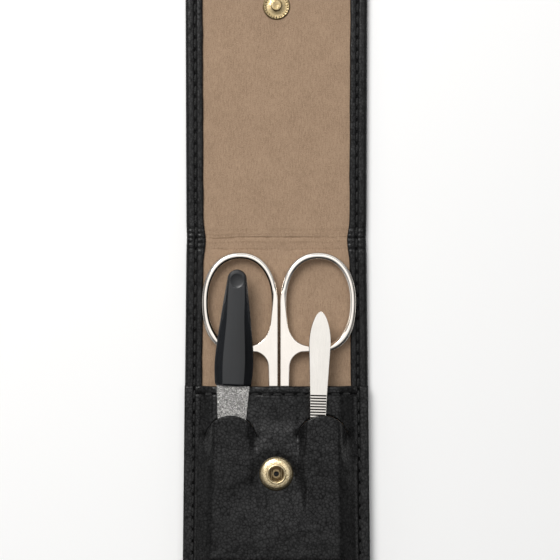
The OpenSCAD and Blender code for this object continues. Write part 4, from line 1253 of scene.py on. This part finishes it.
def tweezerLeg(name, upper):
    t = tweezers
    stops = list(np.linspace(-t["inside"], -8, 16)) + [t["gripY"] + 0.6]
    grooves = []
    grooveYs = [t["gripY"] - 0.35 - k * t["pitch"] for k in range(t["grooves"])]
    for y in grooveYs:
        grooves += [y + 0.08, y + 0.13, y + 0.5, y + 0.55]
    stops += grooves + [t["gripY"] + 0.1, 8.0, 11.0, 14.0, 17.0, 20.0]
    widest = t["out"] - t["point"]
    turns = (0, *range(6, 84, 6), 84, 86, 87.3, 88.4)  # closer together towards the point
    stops += [widest + t["point"] * math.sin(math.radians(turn)) for turn in turns]
    rings, deep = [], set()
    for y in sorted(set(round(stop, 4) for stop in stops)):
        w, thick = legHalfWidth(y), legThick(y)
        e = min(0.1, w * 0.45)
        drop = max(t["join"] - y, 0) * math.tan(math.atan(t["tipGap"] / (t["join"] + t["inside"])))
        high = 0.0 if upper else -t["thick"] - 0.02 - drop
        sink = 0.0
        for start in grooveYs:
            if start + 0.1 < y < start + 0.52:
                sink = t["depth"]
        m = max(w - 0.5, w * 0.4)
        topSink, lowSink = (sink, 0.0) if upper else (0.0, sink)
        half = [(w, high - e), (w - e, high), (m, high - topSink)]
        low = high - thick
        ring = [(w - e, low), (w, low + e)] + half + [(-x, z) for x, z in reversed(half)]
        ring += [(-w, low + e), (e - w, low), (-m, low + lowSink), (m, low + lowSink)]
        if sink:
            deep |= {(len(rings), k) for k, (x, z) in enumerate(ring) if abs(abs(x) - m) < 1e-6}
        rings.append([(x, y, z) for x, z in ring])
    leg = drawnBar(name, rings)
    tidyMesh(leg, 22)
    # the sunk points' share darkens the grooves' colour as painted shade
    sunk = [1.0 if (y, k) in deep else 0.0 for y, ring in enumerate(rings) for k in range(len(ring))]
    keepShares(leg, "groove", sunk)
    return place(leg, toolMatrix(t["x"], t["z"], t["lean"]))


dress(tweezerLeg("upper_leg", True), brightSteel, "tweezers", "bright_steel", "tweezer_upper_leg")
dress(tweezerLeg("lower_leg", False), brightSteel, "tweezer_leg", "bright_steel", "tweezer_lower_leg")
print("tweezers made")

# ---- floor, light and camera ----

view = {"middle": (1.08, -0.54), "height": 0.55, "lens": 116.8}
light = {"key": 4.8, "keySize": 0.48, "keyPlace": (-0.3, 0.42, 0.62), "warm": (1.0, 0.99, 0.97),
    "sky": [(0.0, 0.05), (0.2, 0.05), (0.28, 0.6), (0.42, 0.6), (0.5, 0.06), (0.78, 0.1), (0.86, 1.12), (1.0, 1.12)],
    "lean": (-0.25, 1.3)}

floor = added(bpy.ops.mesh.primitive_plane_add, size=9, location=(0, 0, 0))
floor.name = "floor"
floorFinish = Finish("paleFloor", Roughness=0.9, Specular_IOR_Level=0.1)
floorFinish.join("Base Color", floorFinish.mix(floorFinish.noise(floorFinish.spots(), 9.0),
    (0.955, 0.955, 0.955, 1), (0.965, 0.965, 0.965, 1)))
floor.data.materials.append(floorFinish.material)

world = bpy.data.worlds.new("studio")
bpy.context.scene.world = world
world.use_nodes = True
tree = world.node_tree
sky = tree.nodes["Background"]
spots = tree.nodes.new("ShaderNodeTexCoord")
split = tree.nodes.new("ShaderNodeSeparateXYZ")
ramp = tree.nodes.new("ShaderNodeValToRGB")
setStops(ramp.color_ramp, light["sky"])
tree.links.new(spots.outputs["Generated"], split.inputs[0])
tree.links.new(split.outputs["Z"], ramp.inputs[0])
studio = Wire(tree, split.outputs["X"]) * light["lean"][0] + Wire(tree, split.outputs["Y"]) * light["lean"][1] + 1.0
studio = studio.sum("MAXIMUM", studio, 0.1)  # the overhead light is brighter at the upper left
tree.links.new(ramp.outputs[0], sky.inputs["Color"])
tree.links.new(studio.socket, sky.inputs["Strength"])

key = added(bpy.ops.object.light_add, type="AREA", location=light["keyPlace"])
key.name = "keyLight"
key.data.shape = "DISK"
key.data.size = light["keySize"]
key.data.energy = light["key"]
key.data.color = light["warm"]
key.rotation_euler = (Vector((0, 0, 0)) - key.location).to_track_quat("-Z", "Y").to_euler()

camera = added(bpy.ops.object.camera_add,
    location=(view["middle"][0] * mm, view["middle"][1] * mm, view["height"]), rotation=(0, 0, 0))
camera.data.sensor_width = 36
camera.data.lens = view["lens"]
camera.data.clip_start = 0.01
camera.data.clip_end = 10
bpy.context.scene.camera = camera
bpy.context.scene.view_settings.view_transform = "Standard"
print("floor, light and camera ready")
